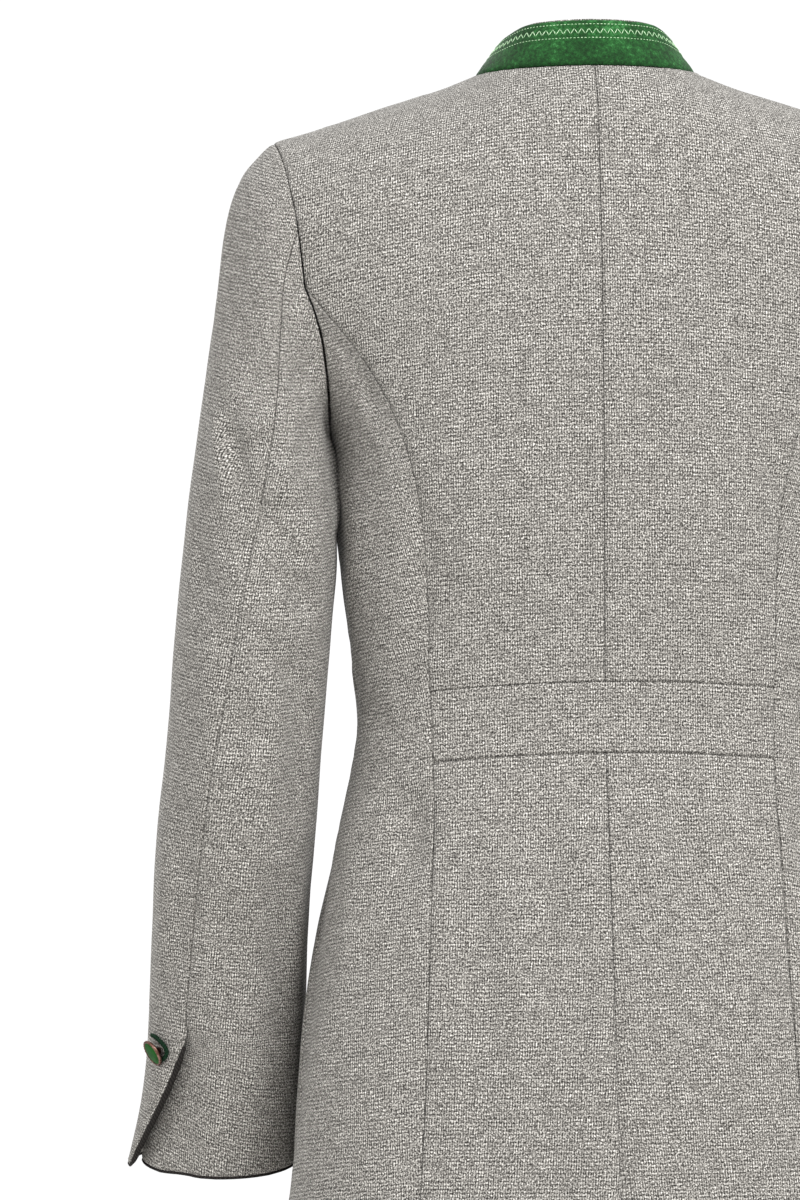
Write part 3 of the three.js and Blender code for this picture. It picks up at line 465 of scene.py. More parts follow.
def first_of(parts, otherwise):
    """At each place the first part that reaches it."""
    for chosen, value in reversed(parts):
        otherwise = np.where(chosen[..., None], value, otherwise)
    return otherwise


def armhole_loop(w):
    """The armhole from the shoulder (0) over the back to the underarm (2) and up the front (4)."""
    parts = (
        (w <= 1, back_face(np.ones_like(w), 4 - np.clip(w, 0, 1))),
        (w <= 2, side_back_face(np.clip(w - 1, 0, 1), np.full_like(w, 3.0))),
        (w <= 3, side_front_face(np.clip(3 - w, 0, 1), np.full_like(w, 3.0))),
    )
    return first_of(parts, front_face(np.ones_like(w), np.clip(w, 3, 4)))


def armhole_normal(w):
    """The body's normals along the armhole, the same way round."""
    ones = np.ones_like(w)
    top = 3.0 * ones
    parts = (
        (w <= 1, -slope(back_face, ones, 4 - np.clip(w, 0, 1), (0, 1), (2, 4))),
        (w <= 2, -slope(side_back_face, np.clip(w - 1, 0, 1), top, (0, 1), (0, 3))),
        (w <= 3, slope(side_front_face, np.clip(3 - w, 0, 1), top, (0, 1), (0, 3))),
    )
    return first_of(parts, slope(front_face, ones, np.clip(w, 3, 4), (0, 1), (0, 4)))


def armhole_angle(w):
    """Angle round the sleeve's first section of each place on the armhole."""
    centre, out, rear, width, depth = sleeve_frame(0.0)
    p = armhole_loop(w) - centre
    turn = np.degrees(np.arctan2((p @ rear) / depth, (p @ out) / width))
    return np.where((turn < -90) | ((w > 2) & (turn <= 90)), turn + 360, turn)


HOLE_WAYS = np.linspace(0, 4, 1601)
HOLE_ANGLES = np.maximum.accumulate(armhole_angle(HOLE_WAYS))
FRONT_SEAM_ANGLE = float(np.interp(FRONT_SEAM, HOLE_WAYS, HOLE_ANGLES))


def hole_way(angle):
    """Place on the armhole at an angle round the sleeve."""
    return np.interp(np.mod(angle, 360), HOLE_ANGLES, HOLE_WAYS)


def sleeve_point(angle, along):
    """Point of the sleeve: its section, drawn to the armhole near its head."""
    angle, along = np.broadcast_arrays(np.asarray(angle, float), np.asarray(along, float))
    fade = ((1 - np.clip(along / HEAD_FADE, 0, 1)) ** 2)[..., None]
    pull = armhole_loop(hole_way(angle)) - section_of(sleeve_frame(0.0), angle)
    return section_of(sleeve_frame(along), angle) + pull * fade


def opening(along):
    """How far the cuff's slit has opened: 0 at its start, 1 at the sleeve's end."""
    return np.clip((along - SLIT_START) / (SLEEVE_END - SLIT_START), 0, 1)


def stand_off(p, along, distance):
    """Moves points level, away from the sleeve's centre line."""
    off = p - sleeve_frame(along)[0]
    off[..., 2] = 0
    return p + off / np.linalg.norm(off, axis=-1, keepdims=True) * distance[..., None]


def top_angle(u, along):
    """In the slit the top sleeve's free edge swings forward."""
    free_edge = read(SLEEVE, "back_seam", along) - SLIT_SWING * opening(along) ** SLIT_CURVE
    return mix(FRONT_SEAM_ANGLE - 360, free_edge, u)


def top_sleeve(u, along):
    """Point of the top sleeve: u runs from the front seam to the back seam, or the free edge."""
    p = sleeve_point(top_angle(u, along), along)
    return stand_off(p, along, SLIT_LIFT * opening(along) ** SLIT_LIFT_CURVE * ease(SLIT_LIFT_FROM, 1, u))


def under_angle(u, along):
    """In the slit the under sleeve runs on below the top sleeve's free edge."""
    lap = SLIT_LAP * np.clip(opening(along) * SLIT_LAP_PACE, 0, 1) + SLIT_LAP_MORE * opening(along)
    return mix(read(SLEEVE, "back_seam", along) - lap, FRONT_SEAM_ANGLE, u)


def under_sleeve(u, along):
    """Point of the under sleeve: u runs from the back seam, or its edge in the slit, to the front seam.
    In the slit it dips below the top sleeve, and swings out and down."""
    angle = under_angle(u, along)
    past = read(SLEEVE, "back_seam", along) - angle  # degrees forward of the back seam
    start, end = SLIT_DROP_OVER
    drop = SLIT_DROP * ease(SLIT_START + start, SLIT_START + end, along) * (1 - ease(0, 20, -past))
    swing = UNDER_SWING * opening(along) * ease(10, 55, past)
    p = stand_off(sleeve_point(angle, along), along, swing - drop)
    p[..., 2] += opening(along) ** 2 * (UNDER_RISE * (1 - ease(0.7, 1, u)) - UNDER_FALL * ease(0, 30, past))
    return p


# --- folds and unevenness ----------------------------------------------------------------------

FOLD_REACH = 3  # half widths from its middle that a fold lifts the cloth
FOLD_TAPER = 0.75  # how blunt its ends are
FOLD_BOW = 0.06  # its bow to one side, as a share of its length
FOLD_POINTS = 9
WAVE, RIPPLE = 0.32, 0.13  # heights of the cloth's own unevenness


def fold_lift(points, path, width, height):
    """How far a fold along a path lifts each point: all of its height along its middle."""
    lift = np.zeros(points.shape[:-1])
    reach = FOLD_REACH * width
    near = ((points > path.min(0) - reach) & (points < path.max(0) + reach)).all(-1)
    p = points[near]
    best, way = np.full(len(p), 1e9), np.zeros(len(p))
    for k, (a, b) in enumerate(zip(path[:-1], path[1:])):
        t = np.clip(((p - a) @ (b - a)) / ((b - a) @ (b - a)), 0, 1)
        off = np.linalg.norm(p - a - t[:, None] * (b - a), axis=1)
        way = np.where(off < best, (k + t) / (len(path) - 1), way)
        best = np.minimum(best, off)
    taper = np.sin(math.pi * np.clip(way, 0, 1)) ** FOLD_TAPER
    lift[near] = height * taper * np.exp(-((best / width) ** 2))
    return lift


def fold_path(place, a0, b0, a1, b1):
    """Points of a fold from one place to another, bowed a little to one side."""
    t = np.linspace(0, 1, FOLD_POINTS)
    bow = FOLD_BOW * np.sin(math.pi * t)
    return place(mix(a0, a1, t) + bow * (b1 - b0), mix(b0, b1, t) - bow * (a1 - a0))


def paths_of(*kinds):
    """Folds as paths, each with its half width and height, from ways of placing them and their tables."""
    return [(fold_path(place, *fold[:4]), *fold[4:]) for place, folds in kinds for fold in folds]


def handle(points):
    """The cloth's own slight waviness: two crossed waves whose lengths never fall together."""
    x, y, z = points[..., 0], points[..., 1], points[..., 2]
    wave = np.sin(x / 17 + 1.3 * np.sin(z / 61)) * np.sin(z / 26 + y / 31 + 0.7)
    ripple = np.sin(x / 7.1 + z / 23 + y / 9) * np.sin(z / 11.3 - x / 19 + 2.1)
    return WAVE * wave + RIPPLE * ripple


def lift_by(paths):
    """How far folds and waviness together lift points of the cloth."""

    def lift(points):
        return handle(points) + sum(fold_lift(points, *fold) for fold in paths)

    return lift


# --- materials ---------------------------------------------------------------------------------


def linear(hexa):
    """An sRGB hex colour as linear RGBA."""
    parts = [int(hexa[i : i + 2], 16) / 255 for i in (1, 3, 5)]
    return (*[c / 12.92 if c <= 0.04045 else ((c + 0.055) / 1.055) ** 2.4 for c in parts], 1.0)


def put(tree, kind, sockets=(), **settings):
    """Adds a node with its settings. Each socket is given a value, or a node or output that feeds it."""
    made = tree.nodes.new(kind)
    for name, value in settings.items():
        setattr(made, name, value)
    for key, value in dict(sockets).items():
        if isinstance(value, bpy.types.Node):
            value = value.outputs[0]
        if isinstance(value, bpy.types.NodeSocket):
            tree.links.new(value, made.inputs[key])
        else:
            made.inputs[key].default_value = value
    return made


def material(name, colour, **surface):
    """A new material, its node tree and its shader. Uniform values go straight on the shader."""
    made = bpy.data.materials.new(name)
    made.use_nodes = True
    made.diffuse_color = linear(colour)
    shader = made.node_tree.nodes["Principled BSDF"]
    shader.inputs["Base Color"].default_value = linear(colour)
    for key, value in surface.items():
        shader.inputs[key.replace("_", " ")].default_value = value
    return made, made.node_tree, shader


def shade(ramp, *stops):
    """Sets a colour ramp's stops, each a place and a hex colour."""
    marks = ramp.color_ramp.elements
    while len(marks) < len(stops):
        marks.new(0.5)
    for mark, (place, colour) in zip(marks, stops):
        mark.position = place
        mark.color = linear(colour)


# The weave's measures across and along the cloth, in metres
WARP = 0.0015  # from one raised warp thread to the next
WEFT = 0.0023  # and from one raised weft thread to the next
SWAY = (0.0012, 0.0015, 0)  # how far all threads wander together
SLIP = (0.0011, 0.0016, 0)  # and each on its own
WEFT_YARN = (620, 870, 0)  # how often in a metre each kind of yarn turns thick or thin
WARP_YARN = (1330, 430, 0)


def tweed_wool():
    """Woollen tweed in a plain weave of melange yarns: matt, a little fuzzy, with rows of light weft
    dashes, small dark holes between them, and threads of uneven thickness and tone."""
    made, tree, shader = material("tweed_wool", "#8d8984", Roughness=0.94, Specular_IOR_Level=0.2,
                                  Sheen_Weight=0.06, Sheen_Roughness=0.55)
    grain = put(tree, "ShaderNodeUVMap", uv_map="grain")
    # Threads wander a little, and each one against the next.
    sway = put(tree, "ShaderNodeTexNoise", {"Vector": grain, "Scale": 90.0, "Detail": 1.0})
    bent = put(tree, "ShaderNodeVectorMath", {0: sway.outputs["Color"], 1: SWAY, 2: grain},
               operation="MULTIPLY_ADD")
    # Along each row, and along each column, the yarn turns thick and thin, light and dark.
    by_row = put(tree, "ShaderNodeVectorMath", {0: bent, 1: WEFT_YARN}, operation="MULTIPLY")
    by_column = put(tree, "ShaderNodeVectorMath", {0: bent, 1: WARP_YARN}, operation="MULTIPLY")
    weft_yarn = put(tree, "ShaderNodeTexNoise", {"Vector": by_row, "Scale": 1.0, "Detail": 1.0})
    warp_yarn = put(tree, "ShaderNodeTexNoise", {"Vector": by_column, "Scale": 1.0, "Detail": 1.0})
    slip = put(tree, "ShaderNodeCombineXYZ",
               {"X": weft_yarn.outputs["Color"], "Y": warp_yarn.outputs["Color"]})
    shaken = put(tree, "ShaderNodeVectorMath", {0: slip, 1: SLIP, 2: bent}, operation="MULTIPLY_ADD")
    # The weave's own rows and columns, one wave to a thread.
    turns = put(tree, "ShaderNodeVectorMath", {0: shaken, 1: (2 * math.pi / WARP, 2 * math.pi / WEFT, 0)},
                operation="MULTIPLY")
    split = put(tree, "ShaderNodeSeparateXYZ", {0: turns})
    warp = put(tree, "ShaderNodeMath", {0: split.outputs["X"]}, operation="SINE")
    weft = put(tree, "ShaderNodeMath", {0: split.outputs["Y"]}, operation="SINE")
    rows = put(tree, "ShaderNodeMath", {0: weft, 1: 0.2}, operation="MULTIPLY")
    crossed = put(tree, "ShaderNodeMath", {0: warp, 1: 0.25, 2: rows}, operation="MULTIPLY_ADD")
    # They show more in some places than in others, under loose fibres and a slight cloudiness.
    cloud = put(tree, "ShaderNodeTexNoise",
                {"Vector": grain, "Scale": 130.0, "Detail": 2.0, "Roughness": 0.6})
    clear = put(tree, "ShaderNodeMapRange",
                {"Value": sway, "From Min": 0.3, "From Max": 0.7, "To Min": 0.4})
    woven = put(tree, "ShaderNodeMath", {0: crossed, 1: clear}, operation="MULTIPLY")
    dashed = put(tree, "ShaderNodeMath", {0: weft_yarn, 1: 0.9, 2: woven}, operation="MULTIPLY_ADD")
    streaked = put(tree, "ShaderNodeMath", {0: warp_yarn, 1: 0.9, 2: dashed}, operation="MULTIPLY_ADD")
    fibre = put(tree, "ShaderNodeTexNoise",
                {"Vector": grain, "Scale": 1100.0, "Detail": 1.0, "Roughness": 0.6})
    flecked = put(tree, "ShaderNodeMath", {0: fibre, 1: 2.4, 2: streaked}, operation="MULTIPLY_ADD")
    clouded = put(tree, "ShaderNodeMath", {0: cloud, 1: 0.4, 2: flecked}, operation="MULTIPLY_ADD")
    tone = put(tree, "ShaderNodeMapRange", {"Value": clouded, "From Min": 1.4, "From Max": 3.22})
    ramp = put(tree, "ShaderNodeValToRGB", {0: tone})
    shade(ramp, (0.0, "#0a0908"), (0.28, "#353330"), (0.5, "#706d69"), (0.7, "#aca9a3"),
          (1.0, "#eeebe6"))
    tree.links.new(ramp.outputs["Color"], shader.inputs["Base Color"])
    bump = put(tree, "ShaderNodeBump", {"Strength": 0.5, "Distance": 0.0004, "Height": streaked})
    tree.links.new(bump.outputs["Normal"], shader.inputs["Normal"])
    return made


def collar_felt():
    """Milled wool felt, dyed green: matt and dense, mottled by its fibres, with a soft bloom."""
    made, tree, shader = material("collar_felt", "#17491e", Roughness=0.95, Specular_IOR_Level=0.2,
                                  Sheen_Weight=0.08, Sheen_Roughness=0.5)
    place = put(tree, "ShaderNodeTexCoord").outputs["Object"]
    mottle = put(tree, "ShaderNodeTexNoise",
                 {"Vector": place, "Scale": 420.0, "Detail": 4.0, "Roughness": 0.8})
    cloud = put(tree, "ShaderNodeTexNoise", {"Vector": place, "Scale": 35.0, "Detail": 2.0})
    tone = put(tree, "ShaderNodeMath", {0: cloud, 1: 0.5, 2: mottle}, operation="MULTIPLY_ADD")
    span = put(tree, "ShaderNodeMapRange", {"Value": tone, "From Min": 0.54, "From Max": 0.96})
    ramp = put(tree, "ShaderNodeValToRGB", {0: span})
    shade(ramp, (0.0, "#0a240c"), (0.42, "#133a17"), (0.75, "#1e5223"), (1.0, "#3a7440"))
    tree.links.new(ramp.outputs["Color"], shader.inputs["Base Color"])
    bump = put(tree, "ShaderNodeBump", {"Strength": 0.5, "Distance": 0.0005, "Height": mottle})
    tree.links.new(bump.outputs["Normal"], shader.inputs["Normal"])
    return made


def sewing_thread(name, colour, fleck):
    """Twisted embroidery cotton: a low satin gloss and a slightly uneven tone."""
    made, tree, shader = material(name, colour, Roughness=0.6)
    place = put(tree, "ShaderNodeTexCoord").outputs["Object"]
    noise = put(tree, "ShaderNodeTexNoise", {"Vector": place, "Scale": 900.0, "Detail": 1.0})
    ramp = put(tree, "ShaderNodeValToRGB", {0: noise})
    shade(ramp, (0.35, fleck), (0.65, colour))
    tree.links.new(ramp.outputs["Color"], shader.inputs["Base Color"])
    bump = put(tree, "ShaderNodeBump", {"Strength": 0.4, "Distance": 0.0002, "Height": noise})
    tree.links.new(bump.outputs["Normal"], shader.inputs["Normal"])
    return made


def piping_cloth_with_painted_slit_shade():
    """Piping of dark grey wool cut on the bias: matt, with a fine slanting rib. Its colour is darker than
    the piping's own: it is partly painted shade for the shadow in the cuff's slit.
    """
    made, tree, shader = material("piping_cloth_with_painted_slit_shade", "#1d1b1a", Roughness=0.9, Specular_IOR_Level=0.15)
    place = put(tree, "ShaderNodeUVMap", uv_map="grain")
    rib = put(tree, "ShaderNodeTexWave",
              {"Vector": place, "Scale": 260.0, "Distortion": 2.0, "Detail": 1.0},
              bands_direction="DIAGONAL")
    # Partly the piping's own dark grey and partly painted shade, the tone of the slit's shadow.
    ramp = put(tree, "ShaderNodeValToRGB", {0: rib})
    shade(ramp, (0.2, "#141211"), (0.8, "#2c2927"))
    tree.links.new(ramp.outputs["Color"], shader.inputs["Base Color"])
    bump = put(tree, "ShaderNodeBump", {"Strength": 0.5, "Distance": 0.0002, "Height": rib})
    tree.links.new(bump.outputs["Normal"], shader.inputs["Normal"])
    return made


def loop_cord():
    """Twisted viscose cord, dark green: fine strands with a soft silky gloss."""
    made, tree, shader = material("loop_cord", "#0a2c18", Roughness=0.6, Specular_IOR_Level=0.1)
    place = put(tree, "ShaderNodeTexCoord").outputs["Object"]
    strand = put(tree, "ShaderNodeTexNoise", {"Vector": place, "Scale": 1300.0, "Detail": 2.0})
    ramp = put(tree, "ShaderNodeValToRGB", {0: strand})
    shade(ramp, (0.3, "#04160b"), (0.7, "#0c2e1a"))
    tree.links.new(ramp.outputs["Color"], shader.inputs["Base Color"])
    bump = put(tree, "ShaderNodeBump", {"Strength": 0.4, "Distance": 0.0002, "Height": strand})
    tree.links.new(bump.outputs["Normal"], shader.inputs["Normal"])
    return made


def button_enamel():
    """Fired glass enamel, mid green: smooth with a low gloss, a little deeper where it pools."""
    made, tree, shader = material("button_enamel", "#0e4a10", Roughness=0.48, Specular_IOR_Level=0.05)
    place = put(tree, "ShaderNodeTexCoord").outputs["Object"]
    pool = put(tree, "ShaderNodeTexNoise", {"Vector": place, "Scale": 320.0, "Detail": 2.0})
    ramp = put(tree, "ShaderNodeValToRGB", {0: pool})
    shade(ramp, (0.35, "#0b3d0c"), (0.65, "#115014"))
    tree.links.new(ramp.outputs["Color"], shader.inputs["Base Color"])
    return made


def button_copper():
    """Pressed copper, tarnished brown in its recesses and rubbed bright on its edges."""
    made, tree, shader = material("button_copper", "#8a5a48", Metallic=1.0, Roughness=0.36)
    place = put(tree, "ShaderNodeTexCoord").outputs["Object"]
    # Edges stand out as worn, and the stain breaks them up.
    worn = put(tree, "ShaderNodeNewGeometry").outputs["Pointiness"]
    stain = put(tree, "ShaderNodeTexNoise", {"Vector": place, "Scale": 420.0, "Detail": 3.0})
    tarnish = put(tree, "ShaderNodeMath", {0: stain, 1: 0.35, 2: worn}, operation="MULTIPLY_ADD")
    ramp = put(tree, "ShaderNodeValToRGB", {0: tarnish})
    shade(ramp, (0.58, "#2e211d"), (0.72, "#64463c"), (0.86, "#b3958a"))
    tree.links.new(ramp.outputs["Color"], shader.inputs["Base Color"])
    rough = put(tree, "ShaderNodeMapRange", {"Value": stain, "To Min": 0.28, "To Max": 0.5})
    tree.links.new(rough.outputs[0], shader.inputs["Roughness"])
    return made


WOOL = tweed_wool()
GREEN_FELT = collar_felt()
PALE_THREAD = sewing_thread("collar_thread", "#c3dcb9", "#7fae7c")
GREY_THREAD = sewing_thread("seam_thread", "#c4c1ba", "#77746f")
DARK_THREAD = sewing_thread("buttonhole_thread", "#23512f", "#173d22")
PIPING_WITH_PAINTED_SHADE = piping_cloth_with_painted_slit_shade()
CORD = loop_cord()
ENAMEL = button_enamel()
COPPER = button_copper()


# --- meshes ------------------------------------------------------------------------------------


def mesh_of(name, points, faces, grain=None):
    """A smooth mesh from points in millimetres, with the cloth's own grain as its UV map, in metres."""
    mesh = bpy.data.meshes.new(name)
    mesh.from_pydata((points * MM).tolist(), [], faces)
    if grain is not None:
        layer = mesh.uv_layers.new(name="grain")
        corners = np.empty(len(mesh.loops), np.int32)
        mesh.loops.foreach_get("vertex_index", corners)
        layer.data.foreach_set("uv", (grain * MM)[corners].astype(np.float32).ravel())
    mesh.polygons.foreach_set("use_smooth", [True] * len(mesh.polygons))
    mesh.update()
    return mesh


def place_piece(name, mesh, finish, nodes=()):
    """Puts a finished mesh in the coat, in place of its solids."""
    made = bpy.data.objects.new(name, mesh)
    bpy.context.scene.collection.objects.link(made)
    for one in finish if isinstance(finish, tuple) else (finish,):
        if one.name not in mesh.materials:
            mesh.materials.append(one)
    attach(made, "root")
    if nodes:
        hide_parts(*nodes)
    return made


def run(points, axis):
    """Distance along a grid's lines from their start."""
    step = np.linalg.norm(np.diff(points, axis=axis), axis=-1)
    start = np.zeros_like(step[:, :1] if axis else step[:1])
    return np.concatenate([start, np.cumsum(step, axis=axis)], axis=axis)


def places(lengths, knots, cell=CELL):
    """Grid lines over stretches of given lengths between knots, closer together beside both ends."""
    marks = np.concatenate([[0], np.cumsum(lengths)])
    total = marks[-1]
    near = np.array(BESIDE_EDGE)
    inner = [np.linspace(a, b, max(2, round((b - a) / cell) + 1)) for a, b in zip(marks[:-1], marks[1:])]
    inner = np.unique(np.concatenate(inner))
    inner = inner[(inner > near[-1] + EDGE_CLEAR) & (inner < total - near[-1] - EDGE_CLEAR)]
    return np.interp(np.concatenate([[0], near, inner, total - near[::-1], [total]]), marks, knots)


# How an edge is made: how deep the outer face falls there and over what distance, the same inside, and
# how far the edge is drawn in from the seam. Only a free edge falls inside too.
CRISP = (1.15, 0.8, 0.0, 0.13)
PRESSED = (1.05, 0.8, 0.0, 0.21)
SOFT = (0.7, 0.7, 0.0, 0.13)
FREE = (0.65, 0.7, 0.6, 0.15)
SEWN = -0.1  # inside, a seam's two edges meet
PUCKER, WELT = 0.16, 0.28  # heights along a seam, which fade out over WELT_FADE
WELT_RISE, WELT_FADE = (1.0, 4.0), (6.0, 13.0)
LINES = ((slice(None), 0), (slice(None), -1), (0, slice(None)), (-1, slice(None)))
LINES_INSIDE = ((slice(None), 1), (slice(None), -2), (1, slice(None)), (-2, slice(None)))
SLEEVE_HEAD = 150.0  # above this distance down a sleeve its warp runs on straight into the head
ELBOW = 400.0  # and here its weft runs square across


def seam_relief(name, off, along):
    """Along a seam the cloth puckers a little and stands up in a low welt beside it."""
    pucker = np.sin(along / 2.6 + 1.7 * np.sin(along / 9.3)) * np.sin(along / 21 + len(name))
    return (PUCKER * pucker + WELT * ease(*WELT_RISE, off)) * (1 - ease(*WELT_FADE, off))


def wall_faces(shape):
    """Faces of a closed wall: its front grid, the same grid behind it and the band round their rim."""
    ids = np.arange(shape[0] * shape[1]).reshape(shape)
    front = np.stack([ids[:-1, :-1], ids[:-1, 1:], ids[1:, 1:], ids[1:, :-1]], -1).reshape(-1, 4)
    loop = np.concatenate([ids[0], ids[1:, -1], ids[-1, -2::-1], ids[-2::-1, 0]])
    sides = np.stack([loop[:-1], loop[:-1] + ids.size, loop[1:] + ids.size, loop[1:]], -1)
    return np.concatenate([front, front[:, ::-1] + ids.size, sides])


def weave_places(name, sideways, upwards, up, grain, follow, turn, mirrored):
    """Where each point lies in the weave. grain is the share of the width where the warp runs straight.
    With level the rows keep the levels of that line, and with threads the warp runs on up each column
    over the sleeve's head."""
    line = int(round(grain * (sideways.shape[1] - 1)))
    over, rows = sideways - sideways[:, line : line + 1], upwards
    if follow == "level":
        rows = upwards[:, line : line + 1] + 0 * upwards
    if follow == "threads":
        head, elbow = (int(np.argmin(np.abs(up - ring))) for ring in (SLEEVE_HEAD, ELBOW))
        rows = upwards - upwards[elbow]
        over = over[np.maximum(np.arange(len(up)), head)]
    c, s = math.cos(math.radians(turn)), math.sin(math.radians(turn))
    over = over * (-1 if mirrored else 1)
    return np.stack([c * over - s * rows, s * over + c * rows], -1) + (37.0 * len(name), 11.0 * len(name))


def cloth(name, point, across, up, edges, lift, away, thick=CLOTH, mirrored=False, grain=0.5, turn=0.0,
          follow="plain", rim=None):
    """A wall of cloth over a surface patch, rounded off along its edges and lifted by its folds. edges
    are the left, right, lower and upper one. away gives the way outwards, rim turns the normals at a
    sleeve's head, and weave_places says what grain, turn and follow do."""
    u, v = np.meshgrid(across, up)
    outer = point(u, v)
    normal = slope(point, u, v, (across[0], across[-1]), (up[0], up[-1]))
    facing = np.sign((normal * away(outer, v)).sum())
    normal = normal * facing
    if rim is not None:
        normal = rim(u, v, normal)
    if mirrored:
        outer = outer * (-1, 1, 1)
        normal = normal * (-1, 1, 1)
    sideways, upwards = run(outer, 1), run(outer, 0)
    gaps = (sideways, sideways[:, -1:] - sideways, upwards, upwards[-1:] - upwards)
    lengths = (upwards, upwards, sideways, sideways)
    raised = lift(outer)
    sunk, inside = np.zeros(outer.shape[:2]), np.zeros(outer.shape[:2])
    corner, inner_corner = outer.copy(), outer.copy()
    for off, along, (drop, spread, back_drop, draw), line, beside in zip(gaps, lengths, edges, LINES,
                                                                         LINES_INSIDE):
        sunk += drop * np.exp(-((off / spread) ** 2))
        inside += back_drop * np.exp(-((off / spread) ** 2))
        if not back_drop:
            raised += seam_relief(name, off, along)
        way = outer[beside] - outer[line]
        way /= np.maximum(np.linalg.norm(way, axis=-1, keepdims=True), 1e-9)
        far = along[line][:, None]
        drawn = draw * (1 + 0.5 * np.sin(far / 1.7) * np.sin(far / 6.1 + len(name)))
        corner[line] += way * drawn
        inner_corner[line] += way * (drawn if back_drop else SEWN)
    face = corner + normal * (raised - sunk)[..., None]
    back = inner_corner + normal * (raised - thick + inside)[..., None]
    faces = wall_faces(u.shape)
    if (facing < 0) != mirrored:
        faces = faces[:, ::-1]
    points = np.concatenate([face.reshape(-1, 3), back.reshape(-1, 3)])
    weave = weave_places(name, sideways, upwards, up, grain, follow, turn, mirrored)
    mesh = mesh_of(name, points, faces.tolist(), np.tile(weave.reshape(-1, 2), (2, 1)))
    diagonal = np.cross(face[1:, 1:] - face[:-1, :-1], face[1:, :-1] - face[:-1, 1:])
    area = np.linalg.norm(diagonal, axis=-1).sum() / 2 * MM * MM
    flat = (sideways[:, -1].max() * MM, upwards[-1].max() * MM)
    return {"name": name, "mesh": mesh, "face": face, "back": back, "normal": normal, "rows": up,
            "flat": flat, "area": area}


def hang(made, finish, node):
    """Puts a wall of cloth in the coat, in place of its solid."""
    piece = place_piece(made["name"], made["mesh"], finish, [node])


def from_axis(points, _):
    """Ways outwards on the body, from its upright axis."""
    return points * (1, 1, 0)


def from_sleeve(points, along):
    """Ways outwards on a sleeve, from its centre line."""
    return points - sleeve_frame(along)[0]


def length_along(path):
    """Distance along a path from its start."""
    return np.concatenate([[0], np.cumsum(np.linalg.norm(np.diff(path, axis=0), axis=1))])


def tube(name, path, over, radius, sides=10):
    """A round cord along a path, closed at its ends. over is a direction across it at each point."""
    ahead = np.gradient(path, axis=0)
    ahead /= np.linalg.norm(ahead, axis=1, keepdims=True)
    side = np.cross(over, ahead)
    side /= np.linalg.norm(side, axis=1, keepdims=True)
    above = np.cross(ahead, side)
    turn = np.linspace(0, 2 * math.pi, sides, endpoint=False)
    ring = side[:, None] * np.cos(turn)[:, None] + above[:, None] * np.sin(turn)[:, None]
    points = (path[:, None] + np.broadcast_to(radius, len(path))[:, None, None] * ring).reshape(-1, 3)
    ids = np.arange(len(points)).reshape(len(path), sides)
    wrapped = np.roll(ids, -1, axis=1)
    faces = np.stack([ids[:-1], wrapped[:-1], wrapped[1:], ids[1:]], -1).reshape(-1, 4).tolist()
    faces += [ids[0, ::-1].tolist(), ids[-1].tolist()]
    far, girth = length_along(path), turn * np.mean(radius)
    grain = np.stack(np.broadcast_arrays(far[:, None], girth[None]), -1).reshape(-1, 2)
    return mesh_of(name, points, faces, grain)


# --- stitches ----------------------------------------------------------------------------------


def stitch_tree():
    """Geometry nodes that sew along a line: one thread bead every pitch, turned out of the line by a
    slant that swaps sides from stitch to stitch."""
    tree = bpy.data.node_groups.new("sewn_line", "GeometryNodeTree")
    inputs = (
        ("Line", "NodeSocketGeometry"), ("Pitch", "NodeSocketFloat"), ("Length", "NodeSocketFloat"),
        ("Thickness", "NodeSocketFloat"), ("Slant", "NodeSocketFloat"), ("Thread", "NodeSocketMaterial"),
    )
    for name, kind in inputs:
        tree.interface.new_socket(name=name, in_out="INPUT", socket_type=kind)
    tree.interface.new_socket(name="Stitches", in_out="OUTPUT", socket_type="NodeSocketGeometry")
    given = put(tree, "NodeGroupInput")
    line = put(tree, "GeometryNodeMeshToCurve", {"Mesh": given.outputs["Line"]})
    spaced = put(tree, "GeometryNodeResampleCurve", {"Curve": line, "Length": given.outputs["Pitch"]},
                 mode="LENGTH")
    bead = put(tree, "GeometryNodeMeshUVSphere", {"Segments": 6, "Rings": 5, "Radius": 0.5})
    across = given.outputs["Thickness"]
    size = put(tree, "ShaderNodeCombineXYZ", {"X": given.outputs["Length"], "Y": across, "Z": across})
    out = put(tree, "GeometryNodeInputNamedAttribute", {"Name": "out"}, data_type="FLOAT_VECTOR")
    tangent = put(tree, "GeometryNodeInputTangent")
    lie = put(tree, "FunctionNodeAxesToRotation", {0: out.outputs["Attribute"], 1: tangent},
              primary_axis="Z", secondary_axis="X")
    index = put(tree, "GeometryNodeInputIndex")
    odd = put(tree, "ShaderNodeMath", {0: index, 1: 2.0}, operation="MODULO")
    sign = put(tree, "ShaderNodeMath", {0: odd, 1: 2.0, 2: -1.0}, operation="MULTIPLY_ADD")
    slant = put(tree, "ShaderNodeMath", {0: sign, 1: given.outputs["Slant"]}, operation="MULTIPLY")
    swing = put(tree, "FunctionNodeAxisAngleToRotation", {"Axis": (0, 0, 1), "Angle": slant})
    turned = put(tree, "FunctionNodeRotateRotation", {0: lie, 1: swing}, rotation_space="LOCAL")
    beads = put(tree, "GeometryNodeInstanceOnPoints",
                {"Points": spaced, "Instance": bead, "Rotation": turned, "Scale": size})
    real = put(tree, "GeometryNodeRealizeInstances", {0: beads})
    smooth = put(tree, "GeometryNodeSetShadeSmooth", {0: real})
    threaded = put(tree, "GeometryNodeSetMaterial",
                   {"Geometry": smooth, "Material": given.outputs["Thread"]})
    put(tree, "NodeGroupOutput", {0: threaded})
    return tree


STITCHES = stitch_tree()
ABOVE = 0.1  # how far a line of stitches runs above the cloth


